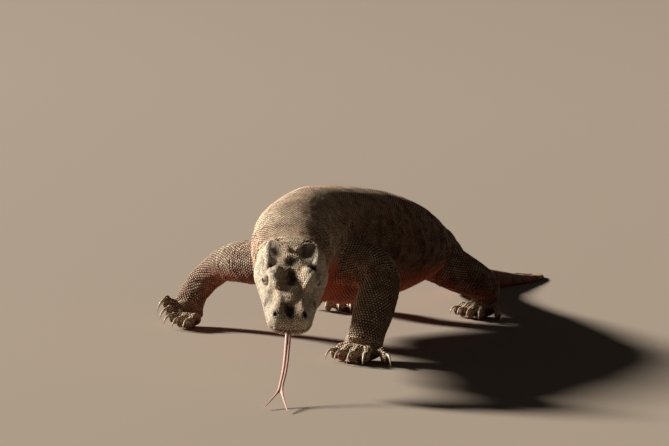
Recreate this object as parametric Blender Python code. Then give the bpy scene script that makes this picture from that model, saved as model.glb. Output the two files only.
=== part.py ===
"""A life-size komodo dragon walking with its head low and its tongue out.

It faces -Y, its left side is +X, and the floor is z = 0. The flesh is modelled whole: a loft from snout
to tail tip, a loft for each leg, toes and muscle swellings, fused by a voxel remesh. Thin cuts then part
it into head, jaw, neck, trunk, tail lengths and legs. Claws, eyes and tongue are pieces of their own.
"""

import math

import bmesh
import bpy
from mathutils import Matrix, Vector

# Driving dimensions, in metres.
HEAD_LENGTH = 0.235  # snout tip to the back of the skull
HEAD_HALF_WIDTH = 0.073  # at the jaw muscles, the widest place
HEAD_YAW = math.radians(31)  # the head is turned towards the animal's left
HEAD_PITCH = math.radians(30)  # and points down
SNOUT_TIP = Vector((0.362, -0.994, 0.116))  # where the lips meet in front
SHOULDER_TOP = 0.354  # height of the withers
EYE_RADIUS = 0.0105
EYE_PLACE = (0.122, 0.0475, 0.029)  # behind the snout tip, to the side, above the mouth line
CLAW_LENGTH = 0.040
CLAW_HALF_HEIGHT = 0.0047
CLAW_BURIED = 0.007  # how deep a claw sits in its toe
TOE_RADIUS = 0.0092
TOE_STEP = 0.0160  # between the roots of neighbouring toes
TOE_TIP_HEIGHT = 0.024
CLAW_RISE = math.radians(16)  # how steeply a claw leaves its toe
CLAW_DROOP = math.radians(1200)  # by how much less, per metre that the toe is lifted
TONGUE_RADIUS = 0.0037  # of each of its two strands
GAPE = 0.0030  # the lips' opening in front
JAW_HINGE = 0.168  # the mouth's corner, behind the snout tip
KERF = 0.0005  # width of the cuts that part the flesh
CLEARANCE = 0.0004  # between a piece and the flesh it sits in
CRUMB = 0.004
VOXEL = 0.004
FLESH_TRIANGLES = 4000
RING_POINTS = 32
HEAD_WEIGHT = 0.97  # under 1 keeps more faces
FOOT_WEIGHT = 0.97

# The head's own axes: forward along the snout, to its left, and up through the skull roof.
FORWARD = Vector(
    (
        math.sin(HEAD_YAW) * math.cos(HEAD_PITCH),
        -math.cos(HEAD_YAW) * math.cos(HEAD_PITCH),
        -math.sin(HEAD_PITCH),
    )
)
LEFT = Vector((math.cos(HEAD_YAW), math.sin(HEAD_YAW), 0.0))
UP = FORWARD.cross(LEFT)
Z = Vector((0.0, 0.0, 1.0))

COLOURS = {
    "skin": ((0.30, 0.26, 0.21, 1.0), 0.75),
    "claw": ((0.62, 0.54, 0.40, 1.0), 0.35),
    "eye": ((0.05, 0.03, 0.02, 1.0), 0.08),
    "tongue": ((0.72, 0.50, 0.42, 1.0), 0.35),
}


def clear_scene():
    for obj in list(bpy.data.objects):
        bpy.data.objects.remove(obj, do_unlink=True)


def material(name):
    found = bpy.data.materials.get(name)
    if found:
        return found
    made = bpy.data.materials.new(name)
    made.use_nodes = True
    colour, roughness = COLOURS[name]
    shader = made.node_tree.nodes["Principled BSDF"]
    shader.inputs["Base Color"].default_value = colour
    shader.inputs["Roughness"].default_value = roughness
    shader.inputs["Metallic"].default_value = 0.0
    return made


def new_object(name, bm, finish="skin"):
    mesh = bpy.data.meshes.new(name)
    bm.to_mesh(mesh)
    bm.free()
    obj = bpy.data.objects.new(name, mesh)
    bpy.context.scene.collection.objects.link(obj)
    mesh.materials.append(material(finish))
    return obj


def in_head(back, left, up):
    """The point this far behind the snout tip, to the head's left and above the mouth line."""
    return SNOUT_TIP - FORWARD * back + LEFT * left + UP * up


def catmull_rom(values, steps):
    """Every number of the stations, smoothly interpolated with this many steps between neighbours."""
    padded = [values[0], *values, values[-1]]
    found = []
    for i in range(1, len(padded) - 2):
        p0, p1, p2, p3 = padded[i - 1 : i + 3]
        for k in range(steps):
            t = k / steps
            found.append(
                [
                    0.5
                    * (
                        2 * b
                        + (c - a) * t
                        + (2 * a - 5 * b + 4 * c - d) * t * t
                        + (3 * b - 3 * c + d - a) * t**3
                    )
                    for a, b, c, d in zip(p0, p1, p2, p3)
                ]
            )
    found.append(list(values[-1]))
    return found


def section(centre, along, up_hint, half_width, above, below, power, points):
    """A rounded outline across the direction along: a superellipse with its own top and bottom heights."""
    side = along.cross(up_hint).normalized()
    upward = side.cross(along).normalized()
    ring = []
    for i in range(points):
        angle = 2 * math.pi * i / points
        c, s = math.cos(angle), math.sin(angle)
        x = half_width * math.copysign(abs(c) ** (2 / power), c)
        height = above if s > 0 else below
        z = height * math.copysign(abs(s) ** (2 / power), s)
        ring.append(centre + side * x + upward * z)
    return ring


def loft(name, stations, steps=4, points=RING_POINTS, up_hint=Z, finish="skin"):
    """A closed skin through stations of (x, y, z, half width, above, below, power)."""
    rows = catmull_rom([list(s) for s in stations], steps)
    centres = [Vector(row[:3]) for row in rows]
    bm = bmesh.new()
    loops = []
    for i, row in enumerate(rows):
        before = centres[max(i - 1, 0)]
        after = centres[min(i + 1, len(rows) - 1)]
        along = (after - before).normalized()
        ring = section(centres[i], along, up_hint, *row[3:7], points)
        verts = [bm.verts.new(p) for p in ring]
        loops.append([bm.edges.new((verts[k], verts[(k + 1) % points])) for k in range(points)])
    for first, second in zip(loops, loops[1:]):
        bmesh.ops.bridge_loops(bm, edges=first + second)
    bmesh.ops.contextual_create(bm, geom=loops[0])
    bmesh.ops.contextual_create(bm, geom=loops[-1])
    bmesh.ops.recalc_face_normals(bm, faces=bm.faces)
    return new_object(name, bm, finish)


def swelling(name, centre, radii, along=Vector((0, 1, 0)), up_hint=Z):
    """A muscle or ridge: an ellipsoid with radii along, across and up."""
    axis = along.normalized()
    side = axis.cross(up_hint).normalized()
    upward = side.cross(axis)
    frame = Matrix((axis, side, upward)).transposed().to_4x4()
    bm = bmesh.new()
    bmesh.ops.create_icosphere(bm, subdivisions=3, radius=1.0)
    bmesh.ops.transform(
        bm, matrix=Matrix.Translation(centre) @ frame @ Matrix.Diagonal((*radii, 1.0)), verts=bm.verts
    )
    return new_object(name, bm)


def head_stations():
    """Head sections from the blunt snout back: (behind the tip, half width, above, below, power)."""
    widest = HEAD_HALF_WIDTH
    shape = (
        (-0.001, 0.18, 0.006, 0.006, 2.2),
        (0.004, 0.40, 0.018, 0.015, 2.4),
        (0.018, 0.57, 0.027, 0.021, 2.6),
        (0.045, 0.64, 0.031, 0.025, 2.8),
        (0.078, 0.72, 0.034, 0.028, 2.7),
        (0.110, 0.81, 0.040, 0.031, 2.5),
        (0.140, 0.90, 0.044, 0.037, 2.4),
        (0.170, 0.97, 0.045, 0.045, 2.3),
        (0.200, 0.99, 0.045, 0.054, 2.2),
        (HEAD_LENGTH, 0.96, 0.048, 0.063, 2.1),
    )
    return [(*in_head(back, 0, 0), widest * w, up, down, n) for back, w, up, down, n in shape]


# Neck, trunk and tail sections: x, y, z of the centre, half width, above, below, power.
BODY_STATIONS = (
    (0.213, -0.745, 0.216, 0.078, 0.058, 0.076, 2.1),
    (0.167, -0.665, 0.230, 0.084, 0.070, 0.086, 2.1),
    (0.121, -0.585, 0.237, 0.089, 0.086, 0.096, 2.1),
    (0.084, -0.500, 0.236, 0.095, 0.104, 0.106, 2.1),
    (0.060, -0.400, 0.228, 0.100, SHOULDER_TOP - 0.228, 0.118, 2.1),
    (0.048, -0.290, 0.216, 0.112, 0.133, 0.130, 2.1),
    (0.036, -0.170, 0.208, 0.133, 0.135, 0.138, 2.1),
    (0.032, -0.040, 0.200, 0.136, 0.127, 0.124, 2.1),
    (0.022, 0.090, 0.188, 0.126, 0.112, 0.096, 2.1),
    (0.004, 0.200, 0.178, 0.106, 0.088, 0.074, 2.1),
    (-0.014, 0.310, 0.164, 0.088, 0.072, 0.066, 2.1),
    (-0.034, 0.420, 0.141, 0.072, 0.062, 0.060, 2.0),
    (-0.064, 0.540, 0.109, 0.059, 0.054, 0.053, 2.0),
    (-0.104, 0.660, 0.076, 0.048, 0.047, 0.046, 2.0),
    (-0.144, 0.790, 0.049, 0.040, 0.042, 0.043, 2.0),
    (-0.164, 0.920, 0.034, 0.032, 0.034, 0.038, 2.0),
    (-0.162, 1.050, 0.024, 0.025, 0.026, 0.028, 2.0),
    (-0.154, 1.180, 0.015, 0.0165, 0.0165, 0.019, 2.0),
    (-0.154, 1.310, 0.008, 0.0100, 0.0100, 0.012, 2.0),
    (-0.170, 1.410, 0.005, 0.0065, 0.0065, 0.009, 2.0),
    (-0.205, 1.452, 0.004, 0.0052, 0.0052, 0.008, 2.0),
    (-0.250, 1.458, 0.003, 0.0042, 0.0042, 0.007, 2.0),
    (-0.292, 1.440, 0.002, 0.0030, 0.0030, 0.006, 2.0),
)

# Toes from the inner to the outer: angle from the foot's heading towards its outer side in degrees,
# length from the palm, thickness against TOE_RADIUS, and how far the tip is held off the floor.
FORE_TOES = (
    (-18, 0.050, 0.95, 0.0),
    (-9, 0.064, 1.05, 0.0),
    (0, 0.069, 1.05, 0.0),
    (10, 0.064, 1.00, 0.0),
    (40, 0.050, 0.95, 0.0),
)
ROLLED_TOES = (
    (-16, 0.048, 1.00, 0.0),
    (-8, 0.054, 1.05, 0.001),
    (0, 0.052, 1.05, 0.006),
    (6, 0.044, 1.00, 0.018),
    (12, 0.036, 0.95, 0.036),
)
HIND_TOES = (
    (-18, 0.048, 0.95, 0.0),
    (-8, 0.066, 1.05, 0.0),
    (0, 0.078, 1.05, 0.0),
    (9, 0.082, 1.00, 0.0),
    (34, 0.058, 0.90, 0.0),
)

# Each leg: joints from its root inside the trunk to the palm, with the leg's half width and half depth
# there, then the foot's heading, measured from straight ahead towards the animal's left.
LEGS = {
    "fore_left": {
        "path": (
            (0.070, -0.410, 0.205, 0.060, 0.062),
            (0.135, -0.402, 0.202, 0.055, 0.058),
            (0.196, -0.385, 0.188, 0.050, 0.052),
            (0.236, -0.392, 0.158, 0.046, 0.050),
            (0.254, -0.438, 0.112, 0.045, 0.046),
            (0.266, -0.490, 0.062, 0.040, 0.040),
            (0.272, -0.516, 0.030, 0.042, 0.028),
        ),
        "heading": math.radians(9),
        "toes": FORE_TOES,
    },
    "fore_right": {
        "path": (
            (0.010, -0.395, 0.186, 0.060, 0.060),
            (-0.085, -0.390, 0.168, 0.052, 0.053),
            (-0.145, -0.372, 0.161, 0.045, 0.046),
            (-0.194, -0.350, 0.147, 0.038, 0.039),
            (-0.226, -0.340, 0.127, 0.035, 0.035),
            (-0.254, -0.340, 0.102, 0.034, 0.034),
            (-0.272, -0.346, 0.072, 0.033, 0.031),
            (-0.274, -0.362, 0.046, 0.034, 0.028),
            (-0.262, -0.380, 0.028, 0.036, 0.022),
        ),
        "heading": math.radians(-10),
        "toes": ROLLED_TOES,
    },
    "hind_left": {
        "path": (
            (-0.010, 0.235, 0.166, 0.070, 0.064),
            (0.046, 0.245, 0.152, 0.062, 0.058),
            (0.096, 0.275, 0.124, 0.054, 0.053),
            (0.136, 0.315, 0.099, 0.045, 0.044),
            (0.128, 0.376, 0.078, 0.040, 0.040),
            (0.110, 0.430, 0.050, 0.032, 0.032),
            (0.108, 0.408, 0.026, 0.032, 0.022),
        ),
        "heading": math.radians(6),
        "toes": HIND_TOES,
    },
    "hind_right": {
        "path": (
            (-0.010, 0.235, 0.166, 0.070, 0.064),
            (-0.070, 0.222, 0.160, 0.064, 0.060),
            (-0.130, 0.190, 0.150, 0.055, 0.055),
            (-0.178, 0.158, 0.130, 0.045, 0.046),
            (-0.192, 0.206, 0.092, 0.040, 0.041),
            (-0.200, 0.252, 0.052, 0.030, 0.031),
            (-0.190, 0.222, 0.026, 0.030, 0.022),
        ),
        "heading": math.radians(24),
        "toes": HIND_TOES,
    },
}


def leg(name, spec):
    stations = [(*row[:3], row[3], row[4], row[4], 2.1) for row in spec["path"]]
    return loft(name, stations, steps=4, points=20, up_hint=Vector((0.15, 0.2, 1.0)))


def toe_lines(name, spec):
    """For each toe: its knuckles from palm to tip, its direction and its thickness."""
    palm = Vector(spec["path"][-1][:3])
    outer = 1 if name.endswith("left") else -1
    across = Vector((math.cos(spec["heading"]), math.sin(spec["heading"]), 0.0)) * outer
    lines = []
    for i, (spread, length, thick, lift) in enumerate(spec["toes"]):
        angle = spec["heading"] + outer * math.radians(spread)
        way = Vector((math.sin(angle), -math.cos(angle), 0.0))
        radius = TOE_RADIUS * thick
        root = palm + way * 0.006 + across * TOE_STEP * (i - 2)
        pad = radius - 0.001
        heights = (0.020, 0.028, pad, TOE_TIP_HEIGHT)
        reach = (0.0, 0.48, 0.84, 1.0)
        knuckles = []
        for height, share in zip(heights, reach):
            point = root + way * length * share
            point.z = height + lift * (0.5 + 0.5 * share)
            knuckles.append(point)
        knuckles[2].z = pad + lift
        lines.append((knuckles, way, radius))
    return lines


def toe(name, knuckles, radius):
    widths = (1.20, 1.08, 1.00, 0.86)
    stations = [(*p, radius * w, radius * w, radius * w, 2.0) for p, w in zip(knuckles, widths)]
    return loft(name, stations, steps=3, points=12)


def foot_pieces(name, spec):
    """The palm and toes of one foot, to be fused into the flesh."""
    palm = Vector(spec["path"][-1][:3])
    way = Vector((math.sin(spec["heading"]), -math.cos(spec["heading"]), 0.0))
    centre = Vector((palm.x, palm.y, 0.018)) + way * 0.008
    pieces = [swelling(f"{name}_palm", centre, (0.030, 0.040, 0.019), way)]
    for i, (knuckles, _, radius) in enumerate(toe_lines(name, spec), 1):
        pieces.append(toe(f"{name}_toe_{i}", knuckles, radius))
    return pieces


def muscle_pieces():
    """Swellings that give the lofts their anatomy."""
    pieces = []
    for side in (1, -1):
        tag = "left" if side > 0 else "right"
        skull = (
            ("jaw_muscle", (0.190, 0.047, -0.004), (0.044, 0.028, 0.040)),
            ("brow", (0.124, 0.033, 0.037), (0.036, 0.015, 0.011)),
            ("cheek", (0.150, 0.048, 0.008), (0.034, 0.018, 0.026)),
            ("nose", (0.036, 0.022, 0.017), (0.030, 0.018, 0.015)),
            ("temple", (0.196, 0.036, 0.026), (0.044, 0.032, 0.019)),
        )
        for label, (back, out, up), radii in skull:
            pieces.append(swelling(f"{label}_{tag}", in_head(back, side * out, up), radii, FORWARD, UP))
    pieces.append(swelling("throat", in_head(0.215, 0.0, -0.044), (0.050, 0.046, 0.026), FORWARD, UP))
    limbs = (
        ("shoulder_left", (0.112, -0.400, 0.222), (0.080, 0.048, 0.064), (0, 1, 0)),
        ("shoulder_right", (-0.030, -0.390, 0.192), (0.075, 0.050, 0.056), (0, 1, 0)),
        ("hip_left", (0.042, 0.245, 0.172), (0.085, 0.044, 0.048), (0, 1, 0)),
        ("hip_right", (-0.070, 0.235, 0.178), (0.085, 0.044, 0.050), (0, 1, 0)),
        ("calf_left", (0.138, 0.362, 0.082), (0.044, 0.030, 0.030), (-0.3, 0.7, -0.5)),
        ("calf_right", (-0.196, 0.205, 0.098), (0.044, 0.030, 0.030), (0.0, 0.7, -0.7)),
    )
    for label, centre, radii, along in limbs:
        pieces.append(swelling(label, Vector(centre), radii, Vector(along)))
    return pieces


def claw_stations(start, way, rise, length, extra):
    """A claw: a bent, tapering blade that leaves the toe at the given rise and turns down to the floor."""
    fall = math.radians(96)
    bend = length / (rise + fall)
    half_height = CLAW_HALF_HEIGHT + extra
    root = start - (way * math.cos(rise) + Z * math.sin(rise)) * (CLAW_BURIED + extra)
    stations = [(*root, half_height * 0.80, half_height, half_height, 2.0)]
    for i in range(5):
        share = i / 4
        turn = share * (rise + fall)
        forward = bend * (math.sin(rise) - math.sin(rise - turn))
        up = bend * (math.cos(rise - turn) - math.cos(rise))
        size = half_height * (1.0 - 0.93 * share**1.3)
        stations.append((*(start + way * forward + Z * up), size * 0.80, size, size, 2.0))
    return stations


def claw_pieces(grow=0.0):
    """All twenty claws, or the slightly larger copies that cut their seats."""
    pieces = []
    for name, spec in LEGS.items():
        for i, (knuckles, way, _) in enumerate(toe_lines(name, spec), 1):
            length = CLAW_LENGTH if spec["toes"] is not HIND_TOES else CLAW_LENGTH * 0.8
            rise = CLAW_RISE - CLAW_DROOP * (knuckles[-1].z - TOE_TIP_HEIGHT)
            stations = claw_stations(knuckles[-1], way, rise, length, grow)
            pieces.append(loft(f"claw_{name}_{i}", stations, steps=1, points=6, finish="claw"))
    return pieces


def ball(name, centre, radius, finish="eye"):
    bm = bmesh.new()
    bmesh.ops.create_icosphere(bm, subdivisions=2, radius=radius)
    bmesh.ops.translate(bm, verts=bm.verts, vec=centre)
    return new_object(name, bm, finish)


def eye_pieces(grow=0.0):
    back, out, up = EYE_PLACE
    places = (("eye_left", out), ("eye_right", -out))
    return [ball(name, in_head(back, side, up), EYE_RADIUS + grow) for name, side in places]


# The tongue's middle line from inside the mouth to the fork, then the two tips.
TONGUE_LINE = (
    (0.3635, -0.999, 0.1125),
    (0.3755, -1.021, 0.0925),
    (0.3970, -1.060, 0.0680),
    (0.4150, -1.096, 0.0480),
    (0.4268, -1.124, 0.0345),
    (0.4358, -1.142, 0.0255),
)
TONGUE_TIPS = (
    ((0.4405, -1.178, 0.0135), (0.4500, -1.222, 0.0045)),
    ((0.4665, -1.180, 0.0140), (0.4990, -1.222, 0.0045)),
)


def strand(name, side, tips, grow):
    """One of the tongue's two strands, lying against the other as far as the fork."""
    line = [in_head(0.030, 0.0, 0.0), in_head(0.008, 0.0, 0.0), *(Vector(p) for p in TONGUE_LINE)]
    stations = []
    for i, point in enumerate(line):
        size = TONGUE_RADIUS * (1.0 - 0.045 * i)
        centre = point + LEFT * side * size * 0.86
        stations.append((*centre, size + grow, (size + grow) * 0.8, (size + grow) * 0.8, 2.0))
    for point, size in zip(tips, (0.45, 0.24)):
        radius = TONGUE_RADIUS * size + grow
        stations.append((*point, radius, radius, radius, 2.0))
    return loft(name, stations, steps=1, points=7, finish="tongue")


def tongue(name, grow=0.0):
    right = strand(name, -1, TONGUE_TIPS[0], grow)
    left = strand(name + "_left", 1, TONGUE_TIPS[1], grow)
    boolean(right, left, "UNION")
    return right


def boolean(obj, other, operation):
    """Joins or cuts with the exact solver, then drops the helper."""
    apply_modifier(obj, "BOOLEAN", object=other, operation=operation, solver="EXACT")
    bpy.data.objects.remove(other, do_unlink=True)


def plate(name, centre, normal, radius):
    """A thin round cut across a limb."""
    turn = Z.rotation_difference(normal.normalized())
    bm = bmesh.new()
    bmesh.ops.create_cone(bm, cap_ends=True, segments=24, radius1=radius, radius2=radius, depth=KERF)
    bmesh.ops.transform(
        bm, matrix=Matrix.Translation(centre) @ turn.to_matrix().to_4x4(), verts=bm.verts
    )
    return new_object(name, bm)


def mouth_cut():
    """The wedge between the lips, with the cut down behind the lower jaw."""
    half = KERF / 2
    outline = (
        (-0.04, GAPE * 0.62),
        (JAW_HINGE, half),
        (JAW_HINGE + 0.030, -0.120),
        (JAW_HINGE + 0.030 - KERF, -0.120),
        (JAW_HINGE - KERF, -half),
        (-0.04, -GAPE * 0.62),
    )
    bm = bmesh.new()
    rings = [[bm.verts.new(in_head(b, side * 0.11, u)) for b, u in outline] for side in (1, -1)]
    count = len(outline)
    for i in range(count):
        k = (i + 1) % count
        bm.faces.new((rings[0][i], rings[0][k], rings[1][k], rings[1][i]))
    for ring in rings:
        bm.faces.new(ring)
    bmesh.ops.recalc_face_normals(bm, faces=bm.faces)
    return new_object("mouth_cut", bm)


# Where the flesh is parted: a point on the cut, the direction across it, and the cut's radius.
CUTS = (
    ((0.239, -0.790, 0.222), (0.50, -0.80, 0.15), 0.115),
    ((0.084, -0.500, 0.236), (0.32, -0.93, 0.02), 0.140),
    ((0.032, -0.040, 0.200), (0.05, 1.0, 0.05), 0.175),
    ((-0.030, 0.395, 0.146), (-0.18, 0.95, -0.22), 0.105),
    ((-0.090, 0.620, 0.088), (-0.28, 0.90, -0.25), 0.080),
    ((-0.160, 0.870, 0.040), (-0.20, 0.97, -0.10), 0.070),
    ((-0.158, 1.110, 0.020), (0.05, 1.0, 0.0), 0.045),
    ((0.182, -0.389, 0.192), (0.95, 0.20, -0.22), 0.085),
    ((0.243, -0.408, 0.142), (0.35, -0.60, -0.72), 0.075),
    ((0.266, -0.492, 0.060), (0.15, -0.45, -0.88), 0.064),
    ((-0.128, -0.378, 0.163), (-0.95, 0.20, -0.12), 0.075),
    ((-0.212, -0.343, 0.137), (-0.75, 0.15, -0.62), 0.065),
    ((-0.273, -0.352, 0.062), (-0.25, -0.25, -0.93), 0.060),
    ((0.110, 0.288, 0.117), (0.90, 0.40, -0.25), 0.070),
    ((0.137, 0.332, 0.092), (0.37, 0.81, -0.46), 0.064),
    ((0.112, 0.415, 0.053), (-0.05, 0.13, -0.99), 0.090),
    ((-0.126, 0.193, 0.150), (-0.93, -0.35, -0.10), 0.072),
    ((-0.180, 0.166, 0.122), (-0.75, 0.18, -0.63), 0.074),
    ((-0.196, 0.232, 0.055), (0.10, -0.10, -0.98), 0.062),
)

# A point inside each flesh piece, by which it gets its name.
ANCHORS = {
    "head": (0.296, -0.886, 0.215),
    "lower_jaw": (0.300, -0.884, 0.160),
    "neck": (0.160, -0.650, 0.230),
    "trunk_front": (0.046, -0.260, 0.210),
    "trunk_rear": (0.010, 0.160, 0.180),
    "tail_1": (-0.060, 0.510, 0.118),
    "tail_2": (-0.128, 0.740, 0.060),
    "tail_3": (-0.162, 0.990, 0.030),
    "tail_4": (-0.170, 1.280, 0.012),
    "upper_arm_left": (0.215, -0.388, 0.170),
    "forearm_left": (0.256, -0.450, 0.102),
    "forefoot_left": (0.284, -0.535, 0.025),
    "upper_arm_right": (-0.172, -0.360, 0.154),
    "forearm_right": (-0.248, -0.340, 0.104),
    "forefoot_right": (-0.264, -0.395, 0.026),
    "thigh_left": (0.128, 0.308, 0.108),
    "shank_left": (0.128, 0.376, 0.078),
    "hindfoot_left": (0.112, 0.392, 0.022),
    "thigh_right": (-0.155, 0.175, 0.138),
    "shank_right": (-0.192, 0.206, 0.092),
    "hindfoot_right": (-0.186, 0.205, 0.024),
}


def join(objects, name):
    bpy.ops.object.select_all(action="DESELECT")
    for obj in objects:
        obj.select_set(True)
    bpy.context.view_layer.objects.active = objects[0]
    bpy.ops.object.join()
    objects[0].name = name
    return objects[0]


def apply_modifier(obj, kind, **settings):
    modifier = obj.modifiers.new(kind.title(), kind)
    for key, value in settings.items():
        setattr(modifier, key, value)
    bpy.ops.object.select_all(action="DESELECT")
    bpy.context.view_layer.objects.active = obj
    bpy.ops.object.modifier_apply(modifier=modifier.name)


def protect_details(flesh):
    """Weights that thin the trunk's faces first, then those of the feet and the head."""
    group = flesh.vertex_groups.new(name="detail")
    head = in_head(HEAD_LENGTH * 0.45, 0.0, 0.0)
    for vertex in flesh.data.vertices:
        near_head = (vertex.co - head).length < HEAD_LENGTH * 0.62
        near_foot = vertex.co.z < 0.05 and vertex.co.y < 0.45
        weight = HEAD_WEIGHT if near_head else FOOT_WEIGHT if near_foot else 1.0
        group.add([vertex.index], weight, "REPLACE")
    return group.name


def fused_flesh():
    """The whole animal's flesh as one closed, smooth, light mesh."""
    pieces = [loft("spine", [*head_stations(), *BODY_STATIONS][::-1])]
    for name, spec in LEGS.items():
        pieces.append(leg(name, spec))
        pieces += foot_pieces(name, spec)
    pieces += muscle_pieces()
    flesh = join(pieces, "flesh")
    apply_modifier(flesh, "REMESH", mode="VOXEL", voxel_size=VOXEL, adaptivity=0.0)
    apply_modifier(flesh, "SMOOTH", factor=0.5, iterations=6)
    flesh.data.calc_loop_triangles()
    ratio = FLESH_TRIANGLES / len(flesh.data.loop_triangles)
    group = protect_details(flesh)
    apply_modifier(
        flesh,
        "DECIMATE",
        ratio=ratio,
        use_collapse_triangulate=True,
        vertex_group=group,
        vertex_group_factor=1.0,
    )
    return flesh


def below_floor():
    bm = bmesh.new()
    bmesh.ops.create_cube(bm, size=1.0)
    bmesh.ops.transform(
        bm, matrix=Matrix.Translation((0, 0.2, -0.1)) @ Matrix.Diagonal((2.0, 4.0, 0.2, 1.0)), verts=bm.verts
    )
    return new_object("below_floor", bm)


def part_flesh(flesh):
    """Cuts the soles flat, opens the seats and parts the flesh into its named pieces."""
    boolean(flesh, below_floor(), "DIFFERENCE")
    seats = [*claw_pieces(CLEARANCE), *eye_pieces(CLEARANCE), tongue("tongue_seat", CLEARANCE)]
    for seat in seats:
        boolean(flesh, seat, "DIFFERENCE")
    boolean(flesh, mouth_cut(), "DIFFERENCE")
    for i, (centre, normal, radius) in enumerate(CUTS):
        boolean(flesh, plate(f"cut_{i}", Vector(centre), Vector(normal), radius), "DIFFERENCE")
    bpy.ops.object.select_all(action="DESELECT")
    flesh.select_set(True)
    bpy.context.view_layer.objects.active = flesh
    bpy.ops.mesh.separate(type="LOOSE")
    return without_crumbs(list(bpy.context.selected_objects))


def without_crumbs(pieces):
    """Drops the slivers that a seat can cut off a thin toe, and gives back the rest."""
    crumbs = [obj for obj in pieces if max(obj.dimensions) < CRUMB]
    for obj in crumbs:
        bpy.data.objects.remove(obj, do_unlink=True)
    return [obj for obj in pieces if obj not in crumbs]


def middle(obj):
    total = Vector()
    for vertex in obj.data.vertices:
        total += vertex.co
    return total / len(obj.data.vertices)


def name_pieces(pieces):
    """Gives each flesh piece the name of the anchor nearest its middle."""
    free = dict(ANCHORS)
    for piece in sorted(pieces, key=lambda p: -len(p.data.vertices)):
        spot = middle(piece)
        name = min(free, key=lambda key: (Vector(free[key]) - spot).length)
        piece.name = name
        del free[name]


def put_on_origin():
    """Moves the whole animal so that the middle of its footprint is the origin."""
    meshes = [obj.data for obj in bpy.data.objects]
    xs = [v.co.x for mesh in meshes for v in mesh.vertices]
    ys = [v.co.y for mesh in meshes for v in mesh.vertices]
    shift = Vector((-(min(xs) + max(xs)) / 2, -(min(ys) + max(ys)) / 2, 0.0))
    for mesh in meshes:
        mesh.transform(Matrix.Translation(shift))
    print("moved by", tuple(shift))


def main():
    clear_scene()
    pieces = part_flesh(fused_flesh())
    name_pieces(pieces)
    claw_pieces()
    eye_pieces()
    tongue("tongue")
    put_on_origin()


if __name__ == "__main__":
    main()
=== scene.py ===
"""Looks of a life-size komodo dragon: skin, beaded scales, eyes, claws and tongue.

It faces -Y and its left side is +X. One skin replaces all the flesh nodes and lies under their
surface by the height of the scales. Scales stand in rings round the spine and the legs. On head and
feet they settle between their neighbours. Skin and scales share one set of markings, with painted
shade, painted highlights and painted bounce light among them.
"""

import math

import bpy
import numpy as np
from mathutils import Matrix, Vector, noise
from mathutils.bvhtree import BVHTree
from mathutils.kdtree import KDTree


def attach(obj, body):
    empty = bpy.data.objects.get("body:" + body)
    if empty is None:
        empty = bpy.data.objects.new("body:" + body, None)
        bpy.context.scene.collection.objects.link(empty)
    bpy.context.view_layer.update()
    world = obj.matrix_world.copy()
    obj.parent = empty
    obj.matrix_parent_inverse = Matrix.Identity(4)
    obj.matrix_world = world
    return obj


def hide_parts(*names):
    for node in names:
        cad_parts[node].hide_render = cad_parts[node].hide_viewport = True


bl_info = {
    "name": "Komodo Dragon",
    "version": (1, 0, 0),
    "blender": (4, 5, 0),
    "location": "View3D > Sidebar > Komodo",
    "description": "Builds the skin, scales, eyes, claws and tongue of a life-size komodo dragon",
    "category": "Add Mesh",
}

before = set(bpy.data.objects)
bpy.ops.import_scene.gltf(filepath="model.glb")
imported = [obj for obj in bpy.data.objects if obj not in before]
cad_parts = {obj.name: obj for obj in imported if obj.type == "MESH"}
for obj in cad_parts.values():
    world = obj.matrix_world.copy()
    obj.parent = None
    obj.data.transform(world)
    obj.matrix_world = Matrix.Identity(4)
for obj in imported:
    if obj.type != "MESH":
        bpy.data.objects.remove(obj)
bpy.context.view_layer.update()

# The head's own axes and the place of its snout tip.
HEAD_YAW = math.radians(31)
HEAD_PITCH = math.radians(30)
SNOUT_TIP = np.array((0.2707, -1.1130, 0.116))
FORWARD = np.array(
    (
        math.sin(HEAD_YAW) * math.cos(HEAD_PITCH),
        -math.cos(HEAD_YAW) * math.cos(HEAD_PITCH),
        -math.sin(HEAD_PITCH),
    )
)
LEFT = np.array((math.cos(HEAD_YAW), math.sin(HEAD_YAW), 0.0))
UP = np.cross(FORWARD, LEFT)
HEAD_LENGTH = 0.235
EYE_PLACE = (0.122, 0.0475, 0.029)
EYE_RADIUS = 0.0105
CORNEA_HEIGHT = 0.00045
SLIT = (0.0080, 0.0028)
AFAR = 9.0
MOUTH_CORNER = 0.168
NOSTRIL = (0.0190, 0.0290, 0.0250)
NOSTRIL_RIM = (0.0185, 0.0290, 0.0250)
EAR = (0.214, 0.068, 0.000)

# Middle lines through the flesh, head to tail and shoulder or hip to palm: x, y, z and radius.
SPINE = (
    (0.122, -0.864, 0.216, 0.073),
    (0.076, -0.784, 0.230, 0.081),
    (0.030, -0.704, 0.237, 0.090),
    (-0.007, -0.619, 0.236, 0.100),
    (-0.031, -0.519, 0.228, 0.111),
    (-0.043, -0.409, 0.216, 0.122),
    (-0.055, -0.289, 0.208, 0.135),
    (-0.059, -0.159, 0.200, 0.131),
    (-0.069, -0.029, 0.188, 0.115),
    (-0.087, 0.081, 0.178, 0.093),
    (-0.105, 0.191, 0.164, 0.079),
    (-0.125, 0.301, 0.141, 0.067),
    (-0.155, 0.421, 0.109, 0.056),
    (-0.195, 0.541, 0.076, 0.047),
    (-0.235, 0.671, 0.049, 0.041),
    (-0.255, 0.801, 0.034, 0.034),
    (-0.253, 0.931, 0.024, 0.026),
    (-0.245, 1.061, 0.015, 0.017),
    (-0.245, 1.191, 0.009, 0.010),
    (-0.261, 1.291, 0.006, 0.007),
    (-0.296, 1.333, 0.005, 0.006),
    (-0.341, 1.339, 0.004, 0.005),
    (-0.383, 1.321, 0.003, 0.004),
)
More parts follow.
